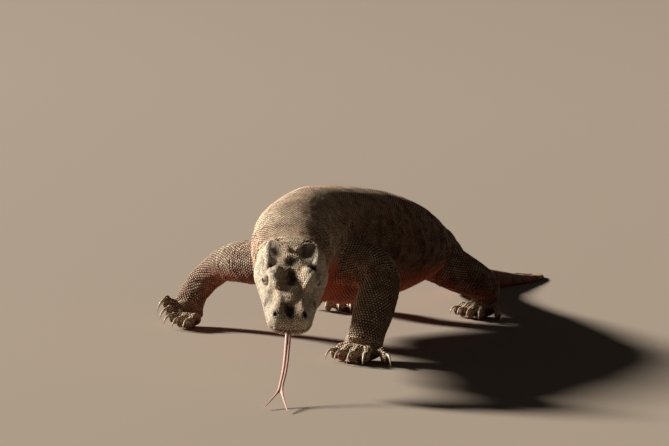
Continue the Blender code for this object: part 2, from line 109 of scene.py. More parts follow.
LIMBS = {
    "fore_left": (
        (-0.021, -0.529, 0.205, 0.061),
        (0.044, -0.521, 0.202, 0.057),
        (0.105, -0.504, 0.188, 0.051),
        (0.145, -0.511, 0.158, 0.048),
        (0.163, -0.557, 0.112, 0.045),
        (0.175, -0.609, 0.062, 0.040),
        (0.181, -0.635, 0.030, 0.035),
    ),
    "fore_right": (
        (-0.081, -0.514, 0.186, 0.060),
        (-0.176, -0.509, 0.168, 0.052),
        (-0.236, -0.491, 0.161, 0.045),
        (-0.285, -0.469, 0.147, 0.038),
        (-0.317, -0.459, 0.127, 0.035),
        (-0.345, -0.459, 0.102, 0.034),
        (-0.363, -0.465, 0.072, 0.032),
        (-0.365, -0.481, 0.046, 0.031),
        (-0.353, -0.499, 0.028, 0.029),
    ),
    "hind_left": (
        (-0.101, 0.116, 0.166, 0.067),
        (-0.045, 0.126, 0.152, 0.060),
        (0.005, 0.156, 0.124, 0.053),
        (0.045, 0.196, 0.099, 0.044),
        (0.037, 0.257, 0.078, 0.040),
        (0.019, 0.311, 0.050, 0.032),
        (0.017, 0.289, 0.026, 0.027),
    ),
    "hind_right": (
        (-0.101, 0.116, 0.166, 0.067),
        (-0.161, 0.103, 0.160, 0.062),
        (-0.221, 0.071, 0.150, 0.055),
        (-0.269, 0.039, 0.130, 0.045),
        (-0.283, 0.087, 0.092, 0.041),
        (-0.291, 0.133, 0.052, 0.030),
        (-0.281, 0.103, 0.026, 0.026),
    ),
}
ANKLE_HEIGHT = {"fore_left": 0.052, "fore_right": 0.060, "hind_left": 0.046, "hind_right": 0.048}


class KomodoSizes(bpy.types.PropertyGroup):
    skin_grid: bpy.props.FloatProperty(
        name="Skin grid", description="Grid the skin is fused on", default=0.0044, unit="LENGTH"
    )
    body_pitch: bpy.props.FloatProperty(
        name="Body scale",
        description="Distance between scales on neck and trunk",
        default=0.0066,
        unit="LENGTH",
    )
    limb_pitch: bpy.props.FloatProperty(
        name="Limb scale",
        description="Distance between scales on the legs",
        default=0.0063,
        unit="LENGTH",
    )
    head_pitch: bpy.props.FloatProperty(
        name="Head scale",
        description="Distance between scales on the skull",
        default=0.0046,
        unit="LENGTH",
    )
    foot_pitch: bpy.props.FloatProperty(
        name="Foot scale",
        description="Distance between scales on hands and feet",
        default=0.0048,
        unit="LENGTH",
    )
    camera_focal: bpy.props.FloatProperty(
        name="Focal length", description="Camera lens", default=123.8, unit="CAMERA"
    )


class KomodoColours(bpy.types.PropertyGroup):
    # Its colour also stands for painted highlight on the head's top and snout tip.
    dusty: bpy.props.FloatVectorProperty(
        name="Dusty",
        description="Scale tips where dust lies",
        default=(0.57, 0.46, 0.335),
        subtype="COLOR",
    )
    brown: bpy.props.FloatVectorProperty(
        name="Brown",
        description="Flanks and back",
        default=(0.074, 0.027, 0.016),
        subtype="COLOR",
    )
    # Red partly of the skin and partly painted bounce light from the ground, on the belly and under
    # the legs.
    ochre_and_bounce: bpy.props.FloatVectorProperty(
        name="Ochre",
        description="Belly, throat and the snout's top",
        default=(0.44, 0.075, 0.025),
        subtype="COLOR",
    )
    # Painted shade: hollows, creases, slits, the skin between scales and the scales' feet.
    dark: bpy.props.FloatVectorProperty(
        name="Dark",
        description="Hollows and creases",
        default=(0.020, 0.014, 0.011),
        subtype="COLOR",
    )
    # Also painted highlights on the snout's top and tip and on the brow and temple ridges.
    pale: bpy.props.FloatVectorProperty(
        name="Pale",
        description="Cheeks, lids and lips",
        default=(0.62, 0.555, 0.46),
        subtype="COLOR",
    )
    horn: bpy.props.FloatVectorProperty(
        name="Horn", description="Claws", default=(0.60, 0.52, 0.38), subtype="COLOR"
    )
    tongue: bpy.props.FloatVectorProperty(
        name="Tongue", description="Forked tongue", default=(0.72, 0.47, 0.40), subtype="COLOR"
    )


# ---------------------------------------------------------------- small helpers


def deselect():
    if bpy.context.mode != "OBJECT":
        bpy.ops.object.mode_set(mode="OBJECT")
    bpy.ops.object.select_all(action="DESELECT")


def choose(obj):
    deselect()
    obj.select_set(True)
    bpy.context.view_layer.objects.active = obj


def on_whole_mesh(action):
    """Runs a mesh operator on everything in the chosen object."""
    bpy.ops.object.mode_set(mode="EDIT")
    bpy.ops.mesh.select_all(action="SELECT")
    action()
    bpy.ops.object.mode_set(mode="OBJECT")


def joined(pieces, name):
    """The pieces as one object."""
    deselect()
    for piece in pieces:
        piece.select_set(True)
    bpy.context.view_layer.objects.active = pieces[0]
    bpy.ops.object.join()
    whole = bpy.context.object
    whole.name = name
    return whole


def points_of(mesh):
    found = np.empty(len(mesh.vertices) * 3, np.float32)
    mesh.vertices.foreach_get("co", found)
    return found.reshape(-1, 3).astype(float)


def normals_of(mesh):
    found = np.empty(len(mesh.vertices) * 3, np.float32)
    mesh.vertex_normals.foreach_get("vector", found)
    return found.reshape(-1, 3).astype(float)


def put_points(mesh, points):
    mesh.vertices.foreach_set("co", points.astype(np.float32).ravel())
    mesh.update()


def edges_of(mesh):
    found = np.empty(len(mesh.edges) * 2, np.int32)
    mesh.edges.foreach_get("vertices", found)
    return found.reshape(-1, 2)


def tree_of(points):
    tree = KDTree(len(points))
    for i, point in enumerate(points):
        tree.insert(point, i)
    tree.balance()
    return tree


def smoothstep(low, high, x):
    t = np.clip((x - low) / (high - low), 0.0, 1.0)
    return t * t * (3.0 - 2.0 * t)


def bell(distance):
    """1 in the middle, smoothly 0 from a distance of 1 on."""
    return np.clip(1.0 - distance**2, 0.0, 1.0) ** 2


def in_head(back, left, up):
    return SNOUT_TIP - FORWARD * back + LEFT * left + UP * up


def head_coordinates(points):
    """How far each point lies behind the snout tip, to the head's left and above the mouth line."""
    offset = points - SNOUT_TIP
    return -(offset @ FORWARD), offset @ LEFT, offset @ UP


def lengths_along(points):
    """The length of a bent line up to each of its points."""
    steps = np.linalg.norm(np.diff(points, axis=0), axis=1)
    return np.concatenate([[0.0], np.cumsum(steps)])


def reach_from(place, back, left, up):
    """Distance of points, in head coordinates, to a place on the head."""
    return np.sqrt((back - place[0]) ** 2 + (left - place[1]) ** 2 + (up - place[2]) ** 2)


def waves(points, scale, seed):
    """Smooth noise between about -1 and 1 at every point."""
    moved = points * scale + seed
    return np.array([noise.noise(Vector(p)) for p in moved])


# How far a round of smoothing pulls points in and pushes them back out.
PULL, PUSH = 0.50, -0.515


def relax(points, edges, rounds, weight):
    """Smooths without shrinking: each round pulls points to their neighbours and back out."""
    count = len(points)
    degree = np.bincount(edges.ravel(), minlength=count).astype(float)
    degree[degree == 0] = 1.0
    for _ in range(rounds):
        for step in (PULL, PUSH):
            total = np.zeros_like(points)
            for axis in range(3):
                column = points[:, axis]
                for here, there in ((0, 1), (1, 0)):
                    ends = column[edges[:, there]]
                    total[:, axis] += np.bincount(edges[:, here], weights=ends, minlength=count)
            points = points + (total / degree[:, None] - points) * (step * weight)[:, None]
    return points


# ---------------------------------------------------------------- middle lines


class Line:
    """A smooth line through the flesh with its own up and side directions."""

    STEP = 0.003
    STEPS_PER_STATION = 16

    def __init__(self, stations, up, keep_up):
        rows = self.smooth(np.array(stations, float))
        lengths = lengths_along(rows[:, :3])
        self.length = lengths[-1]
        self.s = np.arange(0.0, self.length, self.STEP)
        samples = np.stack([np.interp(self.s, lengths, rows[:, k]) for k in range(4)], axis=1)
        self.points = samples[:, :3]
        self.radius = samples[:, 3]
        along = np.gradient(self.points, axis=0)
        kernel = np.ones(9) / 9
        for k in range(3):
            along[:, k] = np.convolve(np.pad(along[:, k], 4, mode="edge"), kernel, mode="valid")
        self.along = along / np.linalg.norm(along, axis=1)[:, None]
        self.up = np.empty_like(self.along)
        current = np.array(up, float)
        for i, way in enumerate(self.along):
            if keep_up:
                current = np.array(up, float)
            current = current - way * (current @ way)
            current /= np.linalg.norm(current)
            self.up[i] = current
        self.side = np.cross(self.along, self.up)
        self.tree = tree_of(self.points)

    def smooth(self, rows):
        """The stations joined by a curve through all of them."""
        padded = np.concatenate([rows[:1], rows, rows[-1:]])
        found = []
        for i in range(1, len(padded) - 2):
            a, b, c, d = padded[i - 1 : i + 3]
            for t in np.arange(self.STEPS_PER_STATION) / self.STEPS_PER_STATION:
                found.append(
                    0.5
                    * (
                        2 * b
                        + (c - a) * t
                        + (2 * a - 5 * b + 4 * c - d) * t**2
                        + (3 * b - 3 * c + d - a) * t**3
                    )
                )
        found.append(rows[-1])
        return np.array(found)

    def station(self, s):
        """The middle, up, side and radius at a length along the line."""
        exact = min(s / self.STEP, len(self.s) - 1.001)
        i = int(exact)
        share = exact - i
        rows = (self.points, self.up, self.side, self.radius)
        return [(1.0 - share) * row[i] + share * row[i + 1] for row in rows]

    def s_at(self, spots):
        """Lengths along the line. Spots past its end, which belong to other lines, give its end."""
        return self.s[np.minimum(spots, len(self.s) - 1)]

    def nearest(self, points):
        """For each point: the nearest sample and the distance against the flesh's radius there."""
        index = np.empty(len(points), int)
        distance = np.empty(len(points))
        for i, point in enumerate(points):
            _, index[i], distance[i] = self.tree.find(point)
        return index, distance / self.radius[index]

    def angle(self, points, index):
        """Angle round the line from its up side, between -pi and pi."""
        offset = points - self.points[index]
        x = np.einsum("ij,ij->i", offset, self.side[index])
        y = np.einsum("ij,ij->i", offset, self.up[index])
        return np.arctan2(x, y)


def spine_line():
    """The middle line from snout tip to tail tip."""
    head = [(*in_head(back, 0.0, 0.0), 0.055) for back in (0.0, 0.06, 0.12, 0.18, HEAD_LENGTH)]
    return Line([*head, *SPINE], (0.0, 0.0, 1.0), True)


BODY = spine_line()
LEGS = {name: Line(stations, (0.0, -0.25, 1.0), False) for name, stations in LIMBS.items()}
LEG_NAMES = tuple(LIMBS)

# How far toes reach from the palm and the head to each side, and how many of the trunk's radii off
# its middle line low points belong to a foot.
FOOT_REACH = 0.155
HEAD_HALF_WIDTH = 0.12
TRUNK_REACH = 1.25


class Places:
    """Where points lie on the animal: nearest middle line, zone, and place along and round it."""

    def __init__(self, points):
        self.points = points
        self.spot, self.reach = BODY.nearest(points)
        self.s = BODY.s[self.spot]
        self.angle = BODY.angle(points, self.spot)
        self.limb = np.full(len(points), -1)
        self.limb_spot = np.zeros(len(points), int)
        best = self.reach.copy()
        for k, name in enumerate(LEG_NAMES):
            spot, reach = LEGS[name].nearest(points)
            closer = reach < best
            self.limb[closer] = k
            self.limb_spot[closer] = spot[closer]
            best[closer] = reach[closer]
        self.foot = np.zeros(len(points), bool)
        self.toe = np.zeros(len(points))
        for k, name in enumerate(LEG_NAMES):
            palm = LEGS[name].points[-1]
            away = np.linalg.norm(points[:, :2] - palm[:2], axis=1)
            near = away < FOOT_REACH
            low = points[:, 2] < ANKLE_HEIGHT[name]
            on_limb = (self.limb == k) | (near & (self.reach > TRUNK_REACH))
            here = on_limb & low & near
            self.foot |= here
            self.limb[here] = k
            self.toe[here] = away[here]
        self.back, self.left, self.up = head_coordinates(points)
        near = (self.back < HEAD_LENGTH + 0.01) & (np.abs(self.left) < HEAD_HALF_WIDTH)
        self.head = near & (self.limb < 0)


# ---------------------------------------------------------------- markings

# Shares of dust: over all the trunk, on its top and towards its front; on the legs and their upper
# sides; on feet and toes.
TRUNK_DUST, TOP_DUST, FRONT_DUST = 0.11, 0.20, 0.50
FORELEG_DUST, HIND_LEG_DUST, LEG_TOP_DUST = 0.30, 0.14, 0.24
FOOT_DUST, TOE_DUST = 0.20, 0.60


def markings(places, normals):
    """Masks for the shared colours: dust, with painted highlight on the head's top; red below,
    partly painted bounce light; painted shade in hollows and creases; pale cheeks.
    """
    rise = normals[:, 2]
    limb = places.limb >= 0
    front = smoothstep(1.05, 0.45, places.s)
    dust = TRUNK_DUST + TOP_DUST * smoothstep(0.0, 0.9, rise) + FRONT_DUST * front
    on_leg = np.where(places.limb < 2, FORELEG_DUST, HIND_LEG_DUST)
    dust = np.where(limb, on_leg + LEG_TOP_DUST * smoothstep(-0.5, 0.6, rise), dust)
    toes = smoothstep(0.030, 0.055, places.toe)
    dust = dust + (FOOT_DUST * places.foot + TOE_DUST * toes) * smoothstep(-0.4, 0.4, rise)
    # Red under the belly and the legs: partly the skin's own colour, partly painted bounce light
    # from the ground.
    belly = smoothstep(1.60, 2.25, np.abs(places.angle)) * (~limb)
    warm = belly * smoothstep(0.20, -0.50, rise) * smoothstep(0.25, 0.42, places.s)
    warm = np.where(limb, 0.45 * smoothstep(-0.1, -0.9, rise), warm)
    return head_markings(places, dust, warm)


def head_markings(places, dust, warm):
    """All the masks, with the head's own markings worked into them."""
    back, left, up = places.back, np.abs(places.left), places.up
    head = places.head
    lids = slit_reach(places.points)
    local = np.stack([back, left, up], axis=1)

    top = smoothstep(0.018, 0.034, up) * smoothstep(0.036, 0.020, left)
    tip = smoothstep(0.030, 0.008, back)
    snout = top * smoothstep(0.042, 0.056, back) * smoothstep(0.108, 0.090, back)
    lower_lip = bell((up - mouth_height(back) + 0.0052) / 0.0050) * smoothstep(0.055, 0.020, back)
    # The head's top and snout tip made paler: partly dust, partly painted highlight.
    dust = np.where(head, dust + 0.80 * top + 0.35 * tip, dust)
    warm = np.where(head, 0.12 * top * smoothstep(0.15, 0.07, back), warm)
    warm = np.where(head, np.maximum(warm, 0.42 * lower_lip), warm)

    cheek = smoothstep(0.015, 0.033, left) * smoothstep(0.25, 0.20, back)
    cheek = cheek * smoothstep(-0.045, -0.020, up)
    pale = head * cheek * (1.0 - 0.7 * top) * (1.0 - 0.5 * lower_lip)
    # Painted highlights on the snout's top and tip and along the brow and temple ridges.
    pale = np.maximum(pale, 0.45 * head * np.maximum(snout, tip))
    for line in (BROW_RIDGE, TEMPLE_RIDGE):
        pale = np.maximum(pale, 0.85 * head * bell(line_distance(local, line) / 0.008))
    pale = np.maximum(pale, 0.95 * head * smoothstep(2.6, 1.7, lids))

    # Painted shade in the skull's hollows, kept off the lids.
    dark = hollow_painted_shade(places) * head * smoothstep(1.6, 2.8, lids)
    # Painted shade in the crease behind the head, along the mouth line and at the rim of the slit
    # between the lids.
    crease = bell(line_distance(local, NECK_CREASE_FLOOR) / 0.0080)
    groove = bell((up - mouth_height(back)) / 0.0022)
    groove = groove * (back < MOUTH_CORNER + 0.004) * (back > -0.01)
    for line_mask in (0.9 * smoothstep(1.25, 1.0, lids), 0.95 * groove * head, 0.85 * crease):
        dark = np.maximum(dark, line_mask)
    # Where the painted shade between and under the scales is weaker: at the lids and on pale skin.
    bare = np.maximum(head * smoothstep(2.4, 1.8, lids), 0.75 * pale)
    return {"dust": dust, "warm": warm, "dark": dark, "pale": pale, "bare": bare}


def hollow_painted_shade(places):
    """Painted shade in the skull's hollows and openings, with ragged rims."""
    back, left, up = places.back, np.abs(places.left), places.up
    ragged = 0.34 * waves(places.points, 95.0, 2.9) + 0.22 * waves(places.points, 260.0, 6.3)
    dark = np.zeros(len(back))
    for spot, (length, width), darkness in SHADED_HOLLOWS.values():
        x, y = (back - spot[0]) / length, (left - spot[1]) / width
        distance = np.sqrt(x**2 + y**2 + ((up - spot[2]) / HOLLOW_HEIGHT) ** 2)
        dark = np.maximum(dark, darkness * smoothstep(1.10, 0.45, distance + ragged))
    return dark


def mouth_height(back):
    """The mouth line above the mouth plane: level in front, dipping at the corner."""
    return -0.004 * smoothstep(0.10, MOUTH_CORNER, back)


# The bottom of the crease between head and neck, where painted shade darkens the skin.
NECK_CREASE_FLOOR = (
    (0.245, 0.027, 0.033),
    (0.254, 0.046, 0.019),
    (0.262, 0.058, 0.000),
    (0.268, 0.064, -0.024),
)

# Hollows and openings of the skull darkened with painted shade: (behind the tip, to the side, up),
# (length, width), darkness.
HOLLOW_HEIGHT = 0.020
SHADED_HOLLOWS = {
    "crown": ((0.119, 0.0, 0.041), (0.031, 0.015), 0.90),
    "rear of the crown": ((0.166, 0.003, 0.044), (0.021, 0.015), 0.75),
    "behind the brow": ((0.155, 0.040, 0.041), (0.014, 0.012), 0.95),
    "temple": ((0.206, 0.029, 0.045), (0.026, 0.017), 0.50),
    "nose": ((0.030, 0.0, 0.029), (0.028, 0.014), 0.92),
    "nostril": (NOSTRIL, (0.0076, 0.0070), 1.0),
    "lip": ((0.070, 0.0480, 0.0150), (0.012, 0.005), 0.65),
    "ear": (EAR, (0.010, 0.012), 0.95),
}


# ---------------------------------------------------------------- skin


def flesh_nodes():
    others = ("claw", "eye", "tongue")
    return sorted(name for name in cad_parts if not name.startswith(others))


def claw_nodes():
    return sorted(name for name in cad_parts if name.startswith("claw"))


def copy_of(node, name):
    """A copy of a CAD node as one merged mesh."""
    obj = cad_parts[node].copy()
    obj.data = obj.data.copy()
    obj.name = name
    obj.parent = None
    for key in list(obj.keys()):
        del obj[key]
    bpy.context.scene.collection.objects.link(obj)
    obj.data.materials.clear()
    choose(obj)
    on_whole_mesh(lambda: bpy.ops.mesh.remove_doubles(threshold=0.00001))
    return obj


def claw_axis(node):
    """The middle of a claw's buried end and its tip."""
    foot = LEGS[node[5:-2]].points[-1]
    points = points_of(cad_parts[node].data)
    away = np.linalg.norm(points[:, :2] - foot[:2], axis=1)
    root = points[away < away.min() + 0.004].mean(axis=0)
    return root, points[away.argmax()]


def fill_ball(centre, radii):
    """A ball that fills a seat in the flesh before it is fused."""
    bpy.ops.mesh.primitive_uv_sphere_add(
        segments=16, ring_count=10, radius=1.0, location=tuple(centre)
    )
    obj = bpy.context.object
    obj.name = "fill"
    turn = Matrix((LEFT, -FORWARD, UP)).transposed().to_4x4()
    obj.matrix_world = Matrix.Translation(Vector(centre)) @ turn @ Matrix.Diagonal((*radii, 1.0))
    bpy.ops.object.transform_apply(location=True, rotation=True, scale=True)
    return obj


# Radii of the balls that fill the seats of eyes, claws and tongue.
EYE_FILL = (0.0116,) * 3
CLAW_FILL = (0.0072,) * 3
TONGUE_FILL = (0.012, 0.008, 0.008)


def seat_fillers():
    """Fills the seats of eyes, claws and tongue and the gap between the jaws."""
    back, out, up = EYE_PLACE
    fillers = [fill_ball(in_head(back, side, up), EYE_FILL) for side in (out, -out)]
    fillers += [fill_ball(claw_axis(node)[0], CLAW_FILL) for node in claw_nodes()]
    for place in (0.006, 0.018, 0.030):
        fillers.append(fill_ball(in_head(place, 0.0, 0.0), TONGUE_FILL))
    for place in np.arange(0.014, MOUTH_CORNER, 0.012):
        width = float(np.interp(place, (0.0, 0.03, 0.17), (0.026, 0.040, 0.066)))
        fillers.append(fill_ball(in_head(place, 0.0, 0.0), (width, 0.009, 0.005)))
    return fillers


# How far the flesh is swollen to close its cuts, how often the fused skin is smoothed, and how much
# of that reaches the head, the legs and the feet.
SWELLING = 0.0005
FUSED_ROUNDS = 34
HEAD_SHARE, LEG_SHARE, FOOT_SHARE = 0.55, 0.75, 0.35

# The same for head and feet once their faces are split.
DETAIL_ROUNDS, DETAIL_SHARE = 6, 0.8

# The lowest that skin and scales reach above the floor.
SKIN_FLOOR, SCALE_FLOOR = 0.0006, 0.0002


def fused_skin(grid):
    """Copies of the flesh, swollen until they meet, fused on a grid and smoothed."""
    skin = joined([copy_of(node, "flesh") for node in flesh_nodes()] + seat_fillers(), "skin")
    on_whole_mesh(lambda: bpy.ops.transform.shrink_fatten(value=SWELLING))
    skin.data.remesh_voxel_size = grid
    skin.data.remesh_voxel_adaptivity = 0.0
    bpy.ops.object.voxel_remesh()
    skin = keep_largest(skin)
    mesh = skin.data
    points = points_of(mesh)
    places = Places(points)
    weight = np.full(len(points), 1.0)
    weight[places.head] = HEAD_SHARE
    weight[places.limb >= 0] = LEG_SHARE
    weight[places.foot] = FOOT_SHARE
    put_points(mesh, relax(points, edges_of(mesh), FUSED_ROUNDS, weight))
    return skin


def keep_largest(obj):
    """Drops loose bubbles that fusing may leave inside."""
    choose(obj)
    on_whole_mesh(lambda: bpy.ops.mesh.separate(type="LOOSE"))
    parts = sorted(bpy.context.selected_objects, key=lambda part: -len(part.data.vertices))
    for part in parts[1:]:
        bpy.data.objects.remove(part, do_unlink=True)
    parts[0].name = "skin"
    choose(parts[0])
    return parts[0]


# The share of faces that trunk and tail keep.
PLAIN_SHARE = 0.30


def thin_plain_skin(skin):
    """Fewer faces on trunk and tail, so that head and feet can have more."""
    places = Places(points_of(skin.data))
    group = skin.vertex_groups.new(name="plain")
    plain = np.flatnonzero(~places.head & ~places.foot & (places.s < 2.35) & (places.s > 0.30))
    group.add(plain.tolist(), 1.0, "REPLACE")
    modifier = skin.modifiers.new("Decimate", "DECIMATE")
    modifier.ratio = PLAIN_SHARE
    modifier.vertex_group = group.name
    choose(skin)
    bpy.ops.object.modifier_apply(modifier=modifier.name)
    skin.vertex_groups.clear()


def refine(skin, chosen):
    """Splits the faces whose corners are all chosen points."""
    mesh = skin.data
    choose(skin)
    for elements in (mesh.polygons, mesh.edges, mesh.vertices):
        elements.foreach_set("select", np.zeros(len(elements), bool))
    for polygon in mesh.polygons:
        if all(chosen[i] for i in polygon.vertices):
            polygon.select = True
    bpy.ops.object.mode_set(mode="EDIT")
    bpy.context.tool_settings.mesh_select_mode = (False, False, True)
    bpy.ops.mesh.subdivide(number_cuts=1, smoothness=0.0)
    bpy.ops.object.mode_set(mode="OBJECT")


def near_lids(points):
    """True near the eyes."""
    back, left, up = head_coordinates(points)
    return reach_from(EYE_PLACE, back, np.abs(left), up) < 0.019


def near_openings(points):
    """True near the lids, nostrils and lips."""
    back, left, up = head_coordinates(points)
    left = np.abs(left)
    nostril = reach_from(NOSTRIL_RIM, back, left, up) < 0.010
    lips = (np.abs(up - mouth_height(back)) < 0.0055) & (back < MOUTH_CORNER + 0.006) & (left < 0.1)
    return (near_lids(points) | nostril | lips) & (back < 0.2)


def on_head_or_foot(points):
    """True on the head and the feet."""
    places = Places(points)
    return places.head | places.foot


def add_detail(skin):
    """Splits faces once on head and feet, twice at nostrils and lips, three times at the lids."""
    for zone in (on_head_or_foot, near_openings, near_lids):
        refine(skin, zone(points_of(skin.data)))


def scale_depth(places):
    """How far the skin lies under the scales' tips."""
    side = np.abs(places.angle)
    lengths, heights = (0.2, 0.30, 1.5, 2.2, 2.6), (0.0014, 0.0023, 0.0020, 0.0014, 0.0009)
    height = np.interp(places.s, lengths, heights)
    height = height * (1.0 - 0.55 * smoothstep(1.8, 2.4, side))
    height = np.where(places.limb >= 0, 0.0018, height)
    height = np.where(places.foot, 0.0012, height)
    return np.where(places.head, 0.0012 + 0.0010 * smoothstep(0.19, 0.245, places.back), height)


# Raised and sunken forms of the head: (behind the tip, to the side, up), (length, width, depth) and
# height.
HEAD_FORMS = {
    "brow": ((0.132, 0.031, 0.045), (0.034, 0.0165, 0.024), 0.0046),
    "hollow of the crown": ((0.119, 0.000, 0.041), (0.036, 0.019, 0.024), -0.0086),
    "rear of the crown": ((0.166, 0.000, 0.044), (0.022, 0.017, 0.022), -0.0046),
    "hollow behind the brow": ((0.156, 0.041, 0.040), (0.013, 0.011, 0.018), -0.0068),
    "hollow of the temple": ((0.206, 0.029, 0.045), (0.032, 0.019, 0.024), -0.0062),
    "crest": ((0.186, 0.006, 0.046), (0.012, 0.012, 0.020), 0.0018),
    "hollow of the nose": ((0.030, 0.000, 0.029), (0.028, 0.012, 0.018), -0.0060),
    "side of the nose": ((0.036, 0.023, 0.027), (0.024, 0.011, 0.016), 0.0020),
    "side of the snout": ((0.074, 0.037, 0.028), (0.034, 0.014, 0.015), -0.0050),
    "top of the snout": ((0.080, 0.000, 0.035), (0.040, 0.027, 0.024), 0.0058),
    "jaw muscle": ((0.170, 0.062, 0.008), (0.030, 0.018, 0.022), 0.0030),
    "ear": (EAR, (0.011, 0.010, 0.014), -0.0075),
    "nostril": (NOSTRIL, (0.0072, 0.0064, 0.0056), -0.0078),
    "rim of the nostril": (NOSTRIL_RIM, (0.0110, 0.0115, 0.0095), 0.0014),
}

# Ridges and creases of the head, in the same coordinates.
BROW_RIDGE = ((0.092, 0.029, 0.039), (0.112, 0.037, 0.044), (0.140, 0.047, 0.043))
TEMPLE_RIDGE = (
    (0.163, 0.047, 0.040),
    (0.190, 0.050, 0.038),
    (0.215, 0.049, 0.036),
    (0.240, 0.045, 0.034),
)
NAPE_RIDGE = ((0.205, 0.008, 0.047), (0.222, 0.022, 0.046), (0.240, 0.040, 0.038))
NECK_CREASE = (
    (0.245, 0.030, 0.040),
    (0.254, 0.050, 0.028),
    (0.262, 0.066, 0.002),
    (0.268, 0.072, -0.024),
)
NECK_FOLD = (
    (0.258, 0.034, 0.042),
    (0.267, 0.054, 0.030),
    (0.275, 0.070, 0.002),
    (0.281, 0.074, -0.028),
)
LIP_GROOVE = ((0.056, 0.045, 0.012), (0.070, 0.048, 0.0150), (0.084, 0.051, 0.0160))
EYE_BAG = ((0.104, 0.051, 0.018), (0.122, 0.056, 0.016), (0.140, 0.058, 0.020))
CHEEK_GROOVE = ((0.150, 0.056, 0.024), (0.164, 0.060, 0.016), (0.176, 0.065, 0.002))
SNOUT_RIDGE = ((0.048, 0.020, 0.030), (0.078, 0.023, 0.034), (0.098, 0.030, 0.040))

# Each line with its half width and height.
HEAD_LINES = (
    (BROW_RIDGE, 0.0085, 0.0044),
    (TEMPLE_RIDGE, 0.0085, 0.0062),
    (NAPE_RIDGE, 0.0070, 0.0030),
    (NECK_CREASE, 0.0100, -0.0115),
    (NECK_FOLD, 0.0095, 0.0046),
    (LIP_GROOVE, 0.0022, -0.0024),
    (EYE_BAG, 0.0034, -0.0026),
    (CHEEK_GROOVE, 0.0030, -0.0024),
    (SNOUT_RIDGE, 0.0090, 0.0026),
)


def line_distance(points, line):
    """Distance of points to a bent line."""
    best = np.full(len(points), AFAR)
    corners = [np.array(corner) for corner in line]
    for start, end in zip(corners, corners[1:]):
        way = end - start
        share = np.clip((points - start) @ way / (way @ way), 0.0, 1.0)
        best = np.minimum(best, np.linalg.norm(points - start - share[:, None] * way, axis=1))
    return best


def head_relief(places):
    """How far each point of the head's skin is raised or sunk."""
    left = np.abs(places.left)
    local = np.stack([places.back, left, places.up], axis=1)
    relief = np.zeros(len(left))
    for centre, size, height in HEAD_FORMS.values():
        relief += height * bell(np.linalg.norm((local - centre) / size, axis=1))
    for line, width, height in HEAD_LINES:
        relief += height * bell(line_distance(local, line) / width)
    off_line = places.up - mouth_height(places.back)
    lips = (places.back < MOUTH_CORNER + 0.004) & (left < 0.09)
    relief += lips * (
        0.0011 * bell((off_line - 0.0052) / 0.0046)
        + 0.0009 * bell((off_line + 0.0056) / 0.0046)
        - 0.0042 * bell(off_line / 0.0021)
    )
    return relief * smoothstep(0.30, 0.27, places.back)


# Folds of the legs, at the top and in the bend: place along foreleg and hind leg, reach, depth,
# distance between folds, and the scale and seed of the noise that bends them.
LEG_FOLDS = (
    ((0.115, 0.10), 0.060, 0.0040, 0.0150, 22.0, 5.0),
    ((0.185, 0.215), 0.045, 0.0030, 0.0165, 26.0, 9.0),
)


def folds(phase):
    """Soft folds parted by narrower creases, from 0 on a fold to -1 in a crease."""
    return -((0.5 - 0.5 * np.cos(2 * math.pi * phase)) ** 2)


def body_relief(places, points):
    """Loose skin: folds behind the head, creases on the flanks, wrinkles on the legs."""
    side = np.abs(places.angle)
    relief = 0.0016 * waves(points * (1.0, 0.8, 0.5), 16.0, 3.1)
    neck = smoothstep(0.25, 0.30, places.s) * smoothstep(0.66, 0.48, places.s) * (places.limb < 0)
    bent = smoothstep(0.2, 1.1, places.angle) + 0.5 * smoothstep(-0.6, -1.4, places.angle)
    drift = 1.3 * waves(points, 8.0, 7.7)
    depth = neck * (0.12 + 0.88 * np.minimum(bent, 1.0)) * 0.0048
    relief += depth * folds(places.s / 0.027 + drift)
    throat = smoothstep(1.5, 2.2, side) * smoothstep(0.22, 0.28, places.s)
    throat = throat * smoothstep(0.60, 0.40, places.s)
    relief += throat * 0.0032 * folds(places.s / 0.031 + 0.5 * drift)
    flank = bell((side - 1.30) / 1.15) * smoothstep(0.45, 0.62, places.s)
    flank *= smoothstep(1.85, 1.50, places.s) * (places.limb < 0)
    for across, seed, depth in ((1.1, 4.4, 0.0050), (2.2, 11.7, 0.0034)):
        lengthwise = places.s * 21.0 * math.sqrt(across)
        unrolled = np.stack([lengthwise, places.angle * across, 0.0 * side], axis=1)
        relief -= flank * depth * bell(waves(unrolled, 1.0, seed) / 0.15)
    for k, name in enumerate(LEG_NAMES):
        along = LEGS[name].s_at(places.limb_spot)
        for middles, reach, depth, pitch, scale, seed in LEG_FOLDS:
            wrinkled = (places.limb == k) * bell((along - middles[k // 2]) / reach)
            relief += wrinkled * depth * folds(along / pitch + 0.5 * waves(points, scale, seed))
    return relief * (places.back > HEAD_LENGTH - 0.01) * ~places.foot


# How thick the lids lie on the ball, how much their rims roll, and how deep the slit's skin lies.
LID_THICKNESS, LID_ROLL, SOCKET_DEPTH = 0.0010, 0.0009, 0.0035


